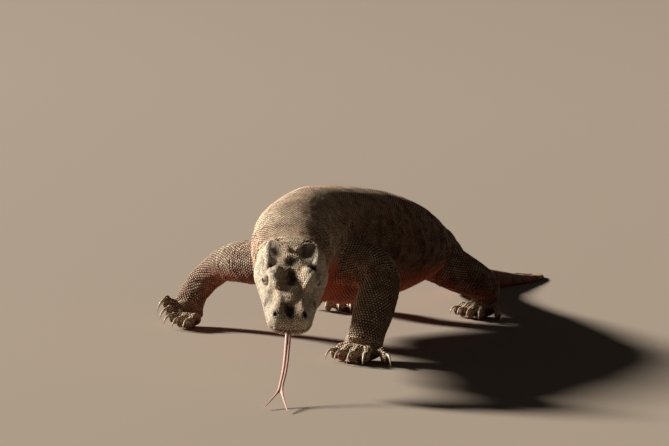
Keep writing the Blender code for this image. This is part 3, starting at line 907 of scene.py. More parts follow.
def sculpt_lids(points):
    """Wraps the skin round each eyeball as lids, and sinks it inside the ball in the slit."""
    for side in (1.0, -1.0):
        centre, gaze, along, across = eye_frame(side)
        offset = points - centre
        distance = np.linalg.norm(offset, axis=1)
        way = offset / np.maximum(distance, 1e-6)[:, None]
        facing = way @ gaze
        x = offset @ along
        y = offset @ across
        near = (distance < 0.0185) & (facing > -0.15)
        slit = 1.0 - (x / SLIT[0]) ** 2 - (y / SLIT[1]) ** 2
        open_share = smoothstep(-0.05, 0.30, slit) * (facing > 0.25)
        lid = EYE_RADIUS + LID_THICKNESS + LID_ROLL * bell((slit + 0.45) / 0.60)
        wrapped = lid * (1.0 - open_share) + (EYE_RADIUS - SOCKET_DEPTH) * open_share
        hold = smoothstep(0.0180, 0.0125, np.hypot(x, y)) * smoothstep(-0.15, 0.35, facing)
        target = centre + way * wrapped[:, None]
        share = (hold * near)[:, None]
        points = points * (1.0 - share) + target * share
    return points


def eye_frame(side):
    """An eye's middle, where it looks, and the directions along and across its lids' slit."""
    centre = in_head(EYE_PLACE[0], side * EYE_PLACE[1], EYE_PLACE[2])
    gaze = LEFT * side * 0.90 + FORWARD * 0.22 + UP * 0.36
    gaze /= np.linalg.norm(gaze)
    along = FORWARD - gaze * (FORWARD @ gaze)
    along /= np.linalg.norm(along)
    across = np.cross(along, gaze) * side
    return centre, gaze, along, across


def slit_reach(points):
    """Distance from the slit between the lids: 0 at its middle, 1 at its rim, AFAR off the eyes."""
    reach = np.full(len(points), AFAR)
    for side in (1.0, -1.0):
        centre, gaze, along, across = eye_frame(side)
        offset = points - centre
        inside = np.hypot((offset @ along) / SLIT[0], (offset @ across) / SLIT[1])
        near = (np.linalg.norm(offset, axis=1) < 0.020) & (offset @ gaze > 0.0)
        reach = np.where(near, inside, reach)
    return reach


def paint_marks(mesh, marks):
    """Stores the masks as one value a point."""
    for name, values in marks.items():
        layer = mesh.attributes.new(name, "FLOAT", "POINT")
        layer.data.foreach_set("value", np.asarray(values, np.float32))


class KOMODO_OT_skin(bpy.types.Operator):
    """Fuse the flesh into one skin and shape its folds, lids, nostrils and lips"""

    bl_idname = "komodo.skin"
    bl_label = "Skin"

    def execute(self, context):
        skin = fused_skin(context.scene.komodo_sizes.skin_grid)
        thin_plain_skin(skin)
        add_detail(skin)
        mesh = skin.data
        places = Places(points_of(mesh))
        weight = (places.head | places.foot) * DETAIL_SHARE
        points = relax(places.points, edges_of(mesh), DETAIL_ROUNDS, weight)
        put_points(mesh, points)
        relief = head_relief(places) + body_relief(places, points) - scale_depth(places)
        points = sculpt_lids(points + normals_of(mesh) * relief[:, None])
        points[:, 2] = np.maximum(points[:, 2], SKIN_FLOOR)
        put_points(mesh, points)
        mesh.shade_smooth()
        places = Places(points_of(mesh))
        paint_marks(mesh, markings(places, normals_of(mesh)))
        mesh.materials.append(skin_material(context.scene.komodo_colours))
        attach(skin, "root")
        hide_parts(*flesh_nodes())
        return {"FINISHED"}


# ---------------------------------------------------------------- materials


def add(tree, kind, **values):
    """A node with its sockets set by name; spaces in socket names are written as underscores."""
    made = tree.nodes.new(kind)
    for key, value in values.items():
        if hasattr(made, key):
            setattr(made, key, value)
        else:
            made.inputs[key.replace("_", " ")].default_value = value
    return made


def mask(tree, name):
    return add(tree, "ShaderNodeAttribute", attribute_name=name).outputs["Fac"]


def own_place(tree):
    """Object coordinates, which every pattern is laid out on."""
    return add(tree, "ShaderNodeTexCoord").outputs["Object"]


def blend_colours(tree, factor, first, second, kind="MIX"):
    """Mixes two colours; each is a socket or a plain colour."""
    mix = tree.nodes.new("ShaderNodeMix")
    mix.data_type = "RGBA"
    mix.blend_type = kind
    for socket, value in ((0, factor), (6, first), (7, second)):
        if isinstance(value, bpy.types.NodeSocket):
            tree.links.new(value, mix.inputs[socket])
        elif socket == 0:
            mix.inputs[0].default_value = value
        else:
            mix.inputs[socket].default_value = (*value, 1.0)
    return mix.outputs[2]


def arithmetic(tree, kind, *values, clamp=False):
    sums = tree.nodes.new("ShaderNodeMath")
    sums.operation = kind
    sums.use_clamp = clamp
    for i, value in enumerate(values):
        if isinstance(value, bpy.types.NodeSocket):
            tree.links.new(value, sums.inputs[i])
        else:
            sums.inputs[i].default_value = value
    return sums.outputs[0]


def tinted(tree, colour, factor):
    """A colour made lighter or darker by a varying factor."""
    grey = tree.nodes.new("ShaderNodeCombineColor")
    for socket in grey.inputs:
        tree.links.new(factor, socket)
    return blend_colours(tree, 1.0, colour, grey.outputs[0], "MULTIPLY")


def speckle(tree, place, scale, detail, low, high, roughness=0.6):
    """Noise stretched so that it runs from 0 at low to 1 at high."""
    cloud = add(tree, "ShaderNodeTexNoise", Scale=scale, Detail=detail, Roughness=roughness)
    tree.links.new(place, cloud.inputs["Vector"])
    spread = add(tree, "ShaderNodeMapRange", From_Min=low, From_Max=high)
    tree.links.new(cloud.outputs["Fac"], spread.inputs["Value"])
    return spread.outputs["Result"]


def hide_markings(colours):
    """The animal's colours, with their painted shade, highlights and bounce light, as one node
    group read by the skin and by its scales alike.
    """
    found = bpy.data.node_groups.get("hide markings")
    if found:
        return found
    tree = bpy.data.node_groups.new("hide markings", "ShaderNodeTree")
    tree.interface.new_socket("Colour", in_out="OUTPUT", socket_type="NodeSocketColor")
    place = own_place(tree)
    broad = speckle(tree, place, 7.0, 3.0, 0.36, 0.66)
    patchy = speckle(tree, place, 34.0, 4.0, 0.38, 0.64)
    fine = speckle(tree, place, 210.0, 3.0, 0.34, 0.66)
    # Dust, with painted highlight on the head's top and snout tip.
    dust = arithmetic(tree, "MULTIPLY_ADD", patchy, 0.42, mask(tree, "dust"))
    dust = arithmetic(tree, "SUBTRACT", dust, 0.14, clamp=True)
    ground = blend_colours(tree, dust, colours.brown, colours.dusty)
    reddish = tuple(0.6 * a + 0.4 * b for a, b in zip(colours.brown, colours.ochre_and_bounce))
    ground = blend_colours(tree, arithmetic(tree, "MULTIPLY", broad, 0.40), ground, reddish)
    # Red partly of the skin, partly painted bounce light from the ground.
    ground = blend_colours(tree, mask(tree, "warm"), ground, colours.ochre_and_bounce)
    # Pale cheeks, lids and lips, with painted highlights on the snout and the brow and temple
    # ridges.
    worn = arithmetic(tree, "MULTIPLY_ADD", fine, 0.50, 0.55)
    pale_and_highlight = arithmetic(tree, "MULTIPLY", mask(tree, "pale"), worn)
    ground = blend_colours(tree, pale_and_highlight, ground, colours.pale)
    ground = tinted(tree, ground, arithmetic(tree, "MULTIPLY_ADD", fine, 0.50, 0.75))
    # Painted shade in hollows, creases and slits.
    ground = blend_colours(tree, mask(tree, "dark"), ground, colours.dark)
    output = tree.nodes.new("NodeGroupOutput")
    tree.links.new(ground, output.inputs["Colour"])
    return tree


def hide_colour(tree, colours):
    group = tree.nodes.new("ShaderNodeGroup")
    group.node_tree = hide_markings(colours)
    return group.outputs["Colour"]


def vary_roughness(tree, shader, cloud, spread, least):
    """Roughness from least to least and spread, as the cloud goes from 0 to 1."""
    rough = arithmetic(tree, "MULTIPLY_ADD", cloud, spread, least)
    tree.links.new(rough, shader.inputs["Roughness"])


def raise_surface(tree, shader, height, strength, distance, invert=False):
    """Bump from a height socket."""
    raised = add(tree, "ShaderNodeBump", Strength=strength, Distance=distance)
    raised.invert = invert
    tree.links.new(height, raised.inputs["Height"])
    tree.links.new(raised.outputs["Normal"], shader.inputs["Normal"])


def new_material(name):
    made = bpy.data.materials.new(name)
    made.use_nodes = True
    return made, made.node_tree, made.node_tree.nodes["Principled BSDF"]


# Dry skin and scales reflect little.
DRY_SHEEN = 0.20


def skin_material(colours):
    """Bare skin between the scales: darker than they are by painted shade, and finely granular."""
    made, tree, shader = new_material("skin")
    place = own_place(tree)
    # Painted shade between the scales, weaker where the skin lies bare at the lids and on pale
    # skin.
    gaps = arithmetic(tree, "MULTIPLY_ADD", mask(tree, "bare"), -0.72, 0.84)
    base = blend_colours(tree, gaps, hide_colour(tree, colours), colours.dark)
    tree.links.new(base, shader.inputs["Base Color"])
    shader.inputs["Roughness"].default_value = 0.80
    shader.inputs["Specular IOR Level"].default_value = DRY_SHEEN
    grain = add(tree, "ShaderNodeTexVoronoi", Scale=520.0)
    tree.links.new(place, grain.inputs["Vector"])
    raise_surface(tree, shader, grain.outputs["Distance"], 0.35, 0.0006, invert=True)
    return made


def scale_material(colours):
    """Scales: painted shade at the foot, the hide's colour above it and a painted highlight at the
    tip.
    """
    found = bpy.data.materials.get("scales")
    if found:
        return found
    made, tree, shader = new_material("scales")
    place = own_place(tree)
    hide = hide_colour(tree, colours)
    # Painted shade at the foot of each scale.
    shade = arithmetic(tree, "MULTIPLY_ADD", mask(tree, "bare"), -0.50, 0.82)
    foot = blend_colours(tree, shade, hide, colours.dark)
    tip = arithmetic(tree, "POWER", mask(tree, "tip"), 2.2)
    grain = mask(tree, "grain")
    # Painted highlight: the tip lighter than the hide.
    lit = blend_colours(tree, 1.0, hide, (1.75, 1.71, 1.62), "MULTIPLY")
    body = blend_colours(tree, tip, foot, lit)
    body = tinted(tree, body, arithmetic(tree, "MULTIPLY_ADD", grain, 0.42, 0.79))
    tree.links.new(body, shader.inputs["Base Color"])
    vary_roughness(tree, shader, speckle(tree, place, 90.0, 3.0, 0.3, 0.7), 0.22, 0.50)
    shader.inputs["Specular IOR Level"].default_value = DRY_SHEEN
    scuffs = add(tree, "ShaderNodeTexNoise", Scale=1500.0, Detail=3.0, Roughness=0.6)
    tree.links.new(place, scuffs.inputs["Vector"])
    raise_surface(tree, shader, scuffs.outputs["Fac"], 0.25, 0.0003)
    return made


def claw_material(colours):
    """Horn: brown and matt at the root, ivory along the blade, with lengthwise streaks."""
    made, tree, shader = new_material("claw horn")
    place = own_place(tree)
    streaks = speckle(tree, place, 330.0, 4.0, 0.36, 0.64)
    root = tuple(0.34 * c for c in colours.horn)
    along = mask(tree, "along")
    shaft = blend_colours(tree, along, root, colours.horn)
    worn = blend_colours(tree, arithmetic(tree, "MULTIPLY", streaks, 0.45), shaft, root)
    tree.links.new(worn, shader.inputs["Base Color"])
    vary_roughness(tree, shader, streaks, 0.25, 0.28)
    shader.inputs["Subsurface Weight"].default_value = 0.05
    shader.inputs["Subsurface Scale"].default_value = 0.004
    raise_surface(tree, shader, streaks, 0.25, 0.0004)
    return made


def eye_material():
    """A wet dark eye: round black pupil, brown iris with a paler ring, dark rim."""
    made, tree, shader = new_material("eye")
    place = own_place(tree)
    ramp = tree.nodes.new("ShaderNodeValToRGB")
    stops = (
        (0.00, (0.004, 0.003, 0.003, 1)),
        (0.20, (0.005, 0.004, 0.003, 1)),
        (0.24, (0.090, 0.042, 0.014, 1)),
        (0.34, (0.055, 0.025, 0.010, 1)),
        (0.46, (0.030, 0.014, 0.007, 1)),
        (0.52, (0.010, 0.006, 0.005, 1)),
        (0.70, (0.120, 0.085, 0.065, 1)),
    )
    elements = ramp.color_ramp.elements
    while len(elements) < len(stops):
        elements.new(0.5)
    for element, (position, colour) in zip(elements, stops):
        element.position = position
        element.color = colour
    tree.links.new(mask(tree, "off_gaze"), ramp.inputs["Fac"])
    flecks = speckle(tree, place, 900.0, 3.0, 0.3, 0.7)
    flecked = arithmetic(tree, "MULTIPLY", flecks, 0.5)
    iris = blend_colours(tree, flecked, ramp.outputs["Color"], (0.02, 0.01, 0.006))
    tree.links.new(iris, shader.inputs["Base Color"])
    shader.inputs["Roughness"].default_value = 0.12
    shader.inputs["Coat Weight"].default_value = 1.0
    shader.inputs["Coat Roughness"].default_value = 0.03
    return made


def tongue_material(colours):
    """Moist pale flesh, with painted shade in the groove and towards the mouth."""
    made, tree, shader = new_material("tongue")
    place = own_place(tree)
    veins = speckle(tree, place, 160.0, 4.0, 0.35, 0.68)
    deep = tuple(c * k for c, k in zip(colours.tongue, (0.55, 0.38, 0.36)))
    flesh = blend_colours(tree, arithmetic(tree, "MULTIPLY", veins, 0.35), colours.tongue, deep)
    # Painted shade along the groove and where the tongue enters the mouth.
    flesh = blend_colours(tree, mask(tree, "groove"), flesh, deep)
    tree.links.new(flesh, shader.inputs["Base Color"])
    vary_roughness(tree, shader, veins, 0.2, 0.22)
    shader.inputs["Subsurface Weight"].default_value = 0.12
    shader.inputs["Subsurface Scale"].default_value = 0.004
    raise_surface(tree, shader, veins, 0.3, 0.0004)
    return made


# ---------------------------------------------------------------- scales


class Surface:
    """The finished skin, for finding points and directions on it."""

    def __init__(self):
        mesh = bpy.data.objects["skin"].data
        self.points = points_of(mesh)
        self.normals = normals_of(mesh)
        mesh.calc_loop_triangles()
        corners = np.empty(len(mesh.loop_triangles) * 3, np.int32)
        mesh.loop_triangles.foreach_get("vertices", corners)
        self.triangles = corners.reshape(-1, 3)
        self.tree = BVHTree.FromPolygons(self.points.tolist(), self.triangles.tolist())
        self.middles = self.points[self.triangles].mean(axis=1)
        a, b, c = (self.points[self.triangles[:, k]] for k in range(3))
        self.areas = 0.5 * np.linalg.norm(np.cross(b - a, c - a), axis=1)

    def settle(self, points):
        """Each point moved onto the skin, with the skin's direction outward there."""
        found = np.empty_like(points)
        faces = np.empty(len(points), int)
        for i, point in enumerate(points):
            place, _, faces[i], _ = self.tree.find_nearest(point)
            found[i] = place
        corners = self.triangles[faces]
        near = 1.0 / (np.linalg.norm(self.points[corners] - found[:, None], axis=2) + 1e-4)
        ways = (self.normals[corners] * near[:, :, None]).sum(axis=1)
        return found, ways / np.linalg.norm(ways, axis=1)[:, None]

    def strew(self, count, faces, seed):
        """Seeded random points on the chosen faces."""
        dice = np.random.default_rng(seed)
        share = self.areas[faces] / self.areas[faces].sum()
        chosen = faces[dice.choice(len(faces), count, p=share)]
        u, v = dice.random((2, count))
        over = u + v > 1
        u[over], v[over] = 1 - u[over], 1 - v[over]
        a, b, c = (self.points[self.triangles[chosen, k]] for k in range(3))
        return a + (b - a) * u[:, None] + (c - a) * v[:, None]


def half_outline(surface, line, s, hand):
    """The skin's outline round one side of a line, from its top to its underside."""
    middle, up, side, radius = line.station(s)
    outline = []
    for turn in np.linspace(0.0, math.pi, 41):
        way = up * math.cos(turn) + side * (hand * math.sin(turn))
        place = surface.tree.ray_cast(middle, way, radius * 2.0 + 0.02)[0]
        if place is None:
            break
        outline.append(place)
    return outline


def ring_rows(surface, line, start, end, pitch_at, stretch_at):
    """Points in rings round a line, equal distances apart, every other ring shifted by half."""
    found = []
    s = start
    odd = False
    while s < end:
        pitch = pitch_at(s)
        for hand in (1.0, -1.0):
            outline = half_outline(surface, line, s, hand)
            if len(outline) < 2:
                continue
            outline = np.array(outline)
            lengths = lengths_along(outline)
            first = pitch * 0.5 if odd else (0.0 if hand > 0 else pitch)
            stops = np.arange(first, lengths[-1], pitch)
            ring = np.stack([np.interp(stops, lengths, outline[:, k]) for k in range(3)], axis=1)
            found.append(np.concatenate([ring, np.full((len(ring), 1), pitch)], axis=1))
        s += pitch * stretch_at(s)
        odd = not odd
    return np.concatenate(found)


def keep_apart(points, pitches, factor, taken):
    """Indices of the points that keep clear of those before them. Those already taken stay."""
    cells = {}
    size = pitches.max()
    steps = (-1, 0, 1)
    around = [(a, b, c) for a in steps for b in steps for c in steps]
    grid = np.floor(points / size).astype(int).tolist()
    places = points.tolist()
    kept = []
    for i, (cell, place) in enumerate(zip(grid, places)):
        if i >= taken and crowded(cells, cell, around, place, pitches[i], factor):
            continue
        cells.setdefault(tuple(cell), []).append((*place, pitches[i]))
        kept.append(i)
    return np.array(kept, int)


def crowded(cells, cell, around, place, pitch, factor):
    """Whether a point already kept lies too near."""
    for a, b, c in around:
        for x, y, z, other in cells.get((cell[0] + a, cell[1] + b, cell[2] + c), ()):
            least = factor * 0.5 * (pitch + other)
            if (x - place[0]) ** 2 + (y - place[1]) ** 2 + (z - place[2]) ** 2 < least * least:
                return True
    return False


def spread_out(surface, points, pitches, first, rounds):
    """Pushes points away from neighbours that are too near. Those before the first stay put."""
    for _ in range(rounds):
        tree = tree_of(points)
        found = [tree.find_n(point, NEIGHBOURS) for point in points[first:]]
        others = np.array([[near[1] for near in row] for row in found])
        gaps = np.array([[near[2] for near in row] for row in found])
        own = points[first:, None]
        wanted = 0.5 * (pitches[first:, None] + pitches[others])
        share = np.where(gaps > 1e-7, np.maximum(wanted - gaps, 0.0) / np.maximum(gaps, 1e-7), 0.0)
        push = ((own - points[others]) * share[..., None]).sum(axis=1)
        settled, _ = surface.settle(points[first:] + push * PUSHING_STEP)
        points = np.concatenate([points[:first], settled])
    return points


def bead_pattern(sides, shoulder, squareness):
    """One scale, modelled once: a low drum drawn in above, with a domed top. It is 2 across."""
    deselect()
    bpy.ops.mesh.primitive_cylinder_add(
        vertices=sides, radius=1.0, depth=1.0, location=(0, 0, 0.14), end_fill_type="NGON"
    )
    obj = bpy.context.object
    mesh = obj.data
    bpy.ops.object.transform_apply(location=True, rotation=True, scale=True)
    bpy.ops.object.mode_set(mode="EDIT")
    bpy.context.tool_settings.mesh_select_mode = (False, False, True)
    bpy.ops.mesh.select_all(action="DESELECT")
    bpy.ops.object.mode_set(mode="OBJECT")
    for polygon in mesh.polygons:
        polygon.select = polygon.normal.z > 0.9
    bpy.ops.object.mode_set(mode="EDIT")
    bpy.ops.transform.resize(value=(shoulder, shoulder, 1.0))
    bpy.ops.mesh.poke(offset=0.36)
    bpy.ops.object.mode_set(mode="OBJECT")
    points = points_of(mesh)
    angle = np.arctan2(points[:, 1], points[:, 0])
    points[:, :2] *= (1.0 + squareness * np.abs(np.sin(2 * angle)))[:, None]
    faces = [list(polygon.vertices) for polygon in mesh.polygons]
    bpy.data.objects.remove(obj, do_unlink=True)
    return points, faces


class Roots:
    """Where scales stand and what half length, half width, height, lean and bend each has."""

    FIELDS = ("points", "normals", "along", "length", "width", "height", "lean", "bend")

    def __init__(self, points, normals, along, length, width, height, lean=0.0, bend=0.0):
        count = len(points)
        self.points = points
        self.normals = normals
        along = along - normals * np.einsum("ij,ij->i", along, normals)[:, None]
        self.along = along / np.maximum(np.linalg.norm(along, axis=1), 1e-9)[:, None]
        self.length = np.zeros(count) + length
        self.width = np.zeros(count) + width
        self.height = np.zeros(count) + height
        self.lean = np.zeros(count) + lean
        self.bend = np.zeros(count) + bend

    def with_more(self, other):
        both = [np.concatenate([getattr(self, f), getattr(other, f)]) for f in self.FIELDS]
        return Roots(*both)


def unwrap(along, angle):
    """Each root's place on the body unrolled along and round its middle line, as one square."""
    low, high = along.min(), along.max()
    u = 0.01 + 0.98 * (along - low) / max(high - low, 1e-6)
    v = 0.5 + 0.49 * angle / math.pi
    return np.stack([u, v], axis=1)


# How large a patch of the map one scale takes, and how much scales differ in size, height and turn.
PATCH = 0.0015
SIZE_SPREAD, LEAST_HEIGHT, HEIGHT_SPREAD, SPIN_SPREAD = 0.10, 0.86, 0.28, 0.35


def place_scales(roots, shape, dice):
    """The modelled scale's points at every root, each a little different."""
    count = len(roots.points)
    across = np.cross(roots.normals, roots.along)
    jitter = 1.0 + SIZE_SPREAD * (dice.random((count, 2)) - 0.5)
    tall = roots.height * (LEAST_HEIGHT + HEIGHT_SPREAD * dice.random(count))
    spin = (dice.random(count) - 0.5) * SPIN_SPREAD
    along = roots.along * np.cos(spin)[:, None] + across * np.sin(spin)[:, None]
    across = np.cross(roots.normals, along)
    x, y, z = shape[:, 0], shape[:, 1], shape[:, 2]
    sag = 0.5 * roots.bend[:, None] * (y * roots.width[:, None]) ** 2
    lengthwise = x * (roots.length * jitter[:, 0])[:, None] + z * (roots.lean * tall)[:, None]
    sideways = y * (roots.width * jitter[:, 1])[:, None]
    upward = z * tall[:, None] - sag
    points = (
        roots.points[:, None]
        + along[:, None] * lengthwise[..., None]
        + across[:, None] * sideways[..., None]
        + roots.normals[:, None] * upward[..., None]
    ).reshape(-1, 3)
    points[:, 2] = np.maximum(points[:, 2], SCALE_FLOOR)
    return points


def grow_scales(name, roots, places, kind, uv, seed):
    """Copies the modelled scale onto every root as one mesh with its map and markings."""
    shape, faces = pattern(kind)
    count, corners = len(roots.points), len(shape)
    dice = np.random.default_rng(seed)
    points = place_scales(roots, shape, dice)
    corner_list = np.concatenate([np.array(face) for face in faces])
    sizes = np.array([len(face) for face in faces])
    loops = (corner_list[None] + (np.arange(count) * corners)[:, None]).ravel()
    starts = np.concatenate([[0], np.cumsum(np.tile(sizes, count))[:-1]])
    mesh = bpy.data.meshes.new(name)
    mesh.vertices.add(len(points))
    mesh.vertices.foreach_set("co", points.astype(np.float32).ravel())
    mesh.loops.add(len(loops))
    mesh.loops.foreach_set("vertex_index", loops.astype(np.int32))
    mesh.polygons.add(len(starts))
    mesh.polygons.foreach_set("loop_start", starts.astype(np.int32))
    mesh.update(calc_edges=True)
    layer = mesh.uv_layers.new(name="OFBake")
    patch = shape[:, :2] / np.abs(shape[:, :2]).max() * PATCH
    spots = (uv[:, None] + patch[None]).reshape(-1, 2)[loops]
    layer.data.foreach_set("uv", spots.astype(np.float32).ravel())
    marks = markings(places, roots.normals)
    masks = {key: np.repeat(values, corners) for key, values in marks.items()}
    height = shape[:, 2]
    # Where the painted highlight lies on each scale: full at the apex, less at the shoulder, none
    # at the foot.
    masks["tip"] = np.tile(np.where(height > 0.99, 1.0, np.where(height > 0.3, 0.72, 0.0)), count)
    masks["grain"] = np.repeat(dice.random(count), corners)
    paint_marks(mesh, masks)
    obj = bpy.data.objects.new(name, mesh)
    bpy.context.scene.collection.objects.link(obj)
    mesh.materials.append(scale_material(bpy.context.scene.komodo_colours))
    mesh.shade_smooth()
    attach(obj, "root")


def in_head_zone(places):
    """True where the scales are the head's."""
    return places.head & (places.s < 0.240)


def spine_pitch(s, sizes):
    """The distance between scales at a length along the spine."""
    lengths = (0.24, 0.40, 1.30, 1.70, 2.10, 2.40, 2.60, 2.90)
    return sizes.body_pitch * np.interp(s, lengths, (0.86, 1.0, 1.04, 0.98, 0.84, 0.66, 0.52, 0.42))


def limb_pitch(share, sizes):
    """The distance between scales at a share of a leg's length."""
    return sizes.limb_pitch * np.interp(share, (0.2, 0.45, 0.8, 1.0), (0.98, 1.0, 1.08, 0.92))


def scale_pitch(places, sizes):
    """The distance between neighbouring scales at each place."""
    pitch = spine_pitch(places.s, sizes)
    for k, name in enumerate(LEG_NAMES):
        share = LEGS[name].s_at(places.limb_spot) / LEGS[name].length
        pitch = np.where(places.limb == k, limb_pitch(share, sizes), pitch)
    pitch = np.where(places.foot, sizes.foot_pitch, pitch)
    return np.where(in_head_zone(places), skull_pitch(sizes.head_pitch, places), pitch)


def skull_pitch(base, places):
    """The distance between scales on the head: less on the cheeks and least round the eyes."""
    back, left, up = places.back, np.abs(places.left), places.up
    pitch = base * np.interp(back, (0.0, 0.04, 0.10, 0.20, 0.25), (0.86, 0.92, 0.96, 1.05, 1.20))
    cheek = smoothstep(0.022, 0.040, left) * smoothstep(-0.02, 0.0, up)
    pitch = pitch * (1.0 - 0.34 * cheek)
    eye = reach_from(EYE_PLACE, back, left, up)
    return pitch * np.interp(eye, (0.0125, 0.024), (0.50, 1.0))


def clear_of_openings(places):
    """True where scales may stand: off the lids' rims, nostrils, ears and the mouth line."""
    back, left, up = places.back, np.abs(places.left), places.up
    eye = reach_from(EYE_PLACE, back, left, up)
    nostril = reach_from(NOSTRIL, back, left, up)
    ear = reach_from(EAR, back, left, up)
    lips = (np.abs(up - mouth_height(back)) < 0.0016) & (back < MOUTH_CORNER + 0.002)
    free = (eye > EYE_RADIUS + 0.0003) & (slit_reach(places.points) > 1.50) & (nostril > 0.0050)
    return ~places.head | (free & (ear > 0.0062) & ~lips)


def lip_rows(surface):
    """The rows of lip scales above and below the mouth line, round the snout and to its corners."""
    rays = []
    for offset in (0.0042, -0.0047):
        for side in (1.0, -1.0):
            for angle in np.arange(math.radians(6), math.radians(90), math.radians(11)):
                way = FORWARD * math.cos(angle) + LEFT * side * math.sin(angle)
                rays.append((in_head(0.028, 0.0, offset), way, 0.09))
            for back in np.arange(0.032, MOUTH_CORNER - 0.004, 0.0054):
                start = in_head(back, 0.0, offset + mouth_height(back))
                rays.append((start, LEFT * side, 0.12))
    spots = [surface.tree.ray_cast(Vector(start), Vector(way), far)[0] for start, way, far in rays]
    points, normals = surface.settle(np.array([spot for spot in spots if spot is not None]))
    along = np.cross(np.broadcast_to(UP, points.shape), normals)
    return Roots(points, normals, along, *LIP_SCALE)


def toe_plates(surface, name):
    """Broad plates across the top of each toe, from the knuckle to the claw."""
    palm = LEGS[name].points[-1]
    spots, ways = [], []
    for node in claw_nodes():
        if node[5:-2] != name:
            continue
        root, _ = claw_axis(node)
        way = (root - palm) * (1.0, 1.0, 0.0)
        reach = np.linalg.norm(way)
        way /= reach
        for step in np.arange(0.46 * reach, reach - 0.001, 0.0046):
            start = Vector(palm * (1, 1, 0) + way * step + np.array((0, 0, root[2] + 0.030)))
            place = surface.tree.ray_cast(start, Vector((0, 0, -1)), 0.08)[0]
            if place is not None:
                spots.append(place)
                ways.append(way)
    points, normals = surface.settle(np.array(spots))
    return Roots(points, normals, np.array(ways), *TOE_PLATE, lean=0.3, bend=90.0)


def limb_rows(surface, k, sizes):
    """Rings of scales across one leg."""
    line = LEGS[LEG_NAMES[k]]

    def pitch(s):
        return limb_pitch(s / line.length, sizes)

    rows = ring_rows(surface, line, 0.03, line.length, pitch, lambda s: 0.88)
    places = Places(rows[:, :3])
    return rows[(places.limb == k) & ~places.foot & ~places.head]


def spine_rows(surface, sizes):
    """Rings of scales round neck, trunk and tail, stretched into longer plates along the tail."""

    def stretch(s):
        return np.interp(s, (0.9, 1.4, 1.6, 2.0), (0.88, 0.92, 1.05, 1.14))

    rows = ring_rows(surface, BODY, 0.200, BODY.length, lambda s: spine_pitch(s, sizes), stretch)
    places = Places(rows[:, :3])
    return rows[(places.limb < 0) & ~places.foot & ~in_head_zone(places)]


# Half length, half width and height of a lip scale and of a toe plate.
LIP_SCALE = (0.0027, 0.0023, 0.0012)
TOE_PLATE = (0.0027, 0.0046, 0.0011)

# Distances between lip scales and between toe plates, the share of the pitch that rows and strewn
# scales keep to their neighbours, how many points are strewn for each scale there is room for, and
# how often, by how many neighbours and how far the scales are pushed apart.
LIP_PITCH, TOE_PITCH = 0.0050, 0.0042
ROW_ROOM, STREWN_ROOM = 0.66, 0.72
FINE_TRIES, PLAIN_TRIES = 12, 6
PUSHING_ROUNDS = 8
NEIGHBOURS, PUSHING_STEP = 7, 0.42


class Coat:
    """All the animal's scales, laid out together so that zones meet without a seam."""

    def __init__(self, sizes):
        self.surface = Surface()
        self.sizes = sizes
        self.lips = lip_rows(self.surface)
        self.toes = {name: toe_plates(self.surface, name) for name in LEG_NAMES}
        points, pitches = [self.lips.points], [np.full(len(self.lips.points), LIP_PITCH)]
        for plates in self.toes.values():
            across = np.cross(plates.normals, plates.along) * 0.0030
            points += [plates.points, plates.points + across, plates.points - across]
            pitches += [np.full(len(plates.points) * 3, TOE_PITCH)]
        fixed = sum(map(len, points))
        rows = [limb_rows(self.surface, k, sizes) for k in range(len(LEG_NAMES))]
        rows = np.concatenate([spine_rows(self.surface, sizes), *rows])
        points = np.concatenate([*points, rows[:, :3]])
        pitches = np.concatenate([*pitches, rows[:, 3]])
        kept = keep_apart(points, pitches, ROW_ROOM, fixed)
        points, pitches = self.fill(points[kept], pitches[kept])
        points = spread_out(self.surface, points, pitches, fixed, PUSHING_ROUNDS)
        self.points, self.normals = self.surface.settle(points[fixed:])
        self.places = Places(self.points)
        self.pitches = scale_pitch(self.places, sizes)
        self.free = clear_of_openings(self.places)

    def fill(self, points, pitches):
        """Strews points over what the rows leave free and keeps those that fit."""
        faces = Places(self.surface.middles)
        wanted = scale_pitch(faces, self.sizes)
        fine = in_head_zone(faces) | faces.foot
        strewn = []
        for seed, (zone, tries) in enumerate(((fine, FINE_TRIES), (~fine, PLAIN_TRIES))):
            chosen = np.flatnonzero(zone)
            room = (self.surface.areas[chosen] / wanted[chosen] ** 2).sum()
            strewn.append(self.surface.strew(int(tries * room), chosen, seed))
        strewn = np.concatenate(strewn)
        tree = tree_of(points)
        gaps = np.array([tree.find(point)[2] for point in strewn])
        strewn = strewn[gaps > 0.0030]
        places = Places(strewn)
        ok = clear_of_openings(places)
        count = len(points)
        points = np.concatenate([points, strewn[ok]])
        pitches = np.concatenate([pitches, scale_pitch(places, self.sizes)[ok]])
        kept = keep_apart(points, pitches, STREWN_ROOM, count)
        return points[kept], pitches[kept]

    def roots(self, chosen, ways, length, width, lean):
        """The chosen scales: half length and half width against their pitch."""
        places = Places(self.points[chosen])
        pitches = self.pitches[chosen]
        tall = np.minimum(scale_depth(places), 0.36 * pitches)
        sizes = (pitches * length, pitches * width, tall)
        return Roots(self.points[chosen], self.normals[chosen], ways, *sizes, lean)


# What the operators share: the coat's layout and the modelled scales.
_shared = {}


def coat():
    """The laid out scales, worked out once."""
    if "coat" not in _shared:
        _shared["coat"] = Coat(bpy.context.scene.komodo_sizes)
    return _shared["coat"]


def pattern(kind):
    """A modelled scale, made once."""
    if kind not in _shared:
        shapes = {"bead": (6, 0.70, 0.0), "plate": (8, 0.80, 0.14)}
        _shared[kind] = bead_pattern(*shapes[kind])
    return _shared[kind]


# Half sizes of scales against the distance between them.
HEAD_HALF, BODY_HALF, FOOT_HALVES = 0.58, 0.52, (0.57, 0.56)

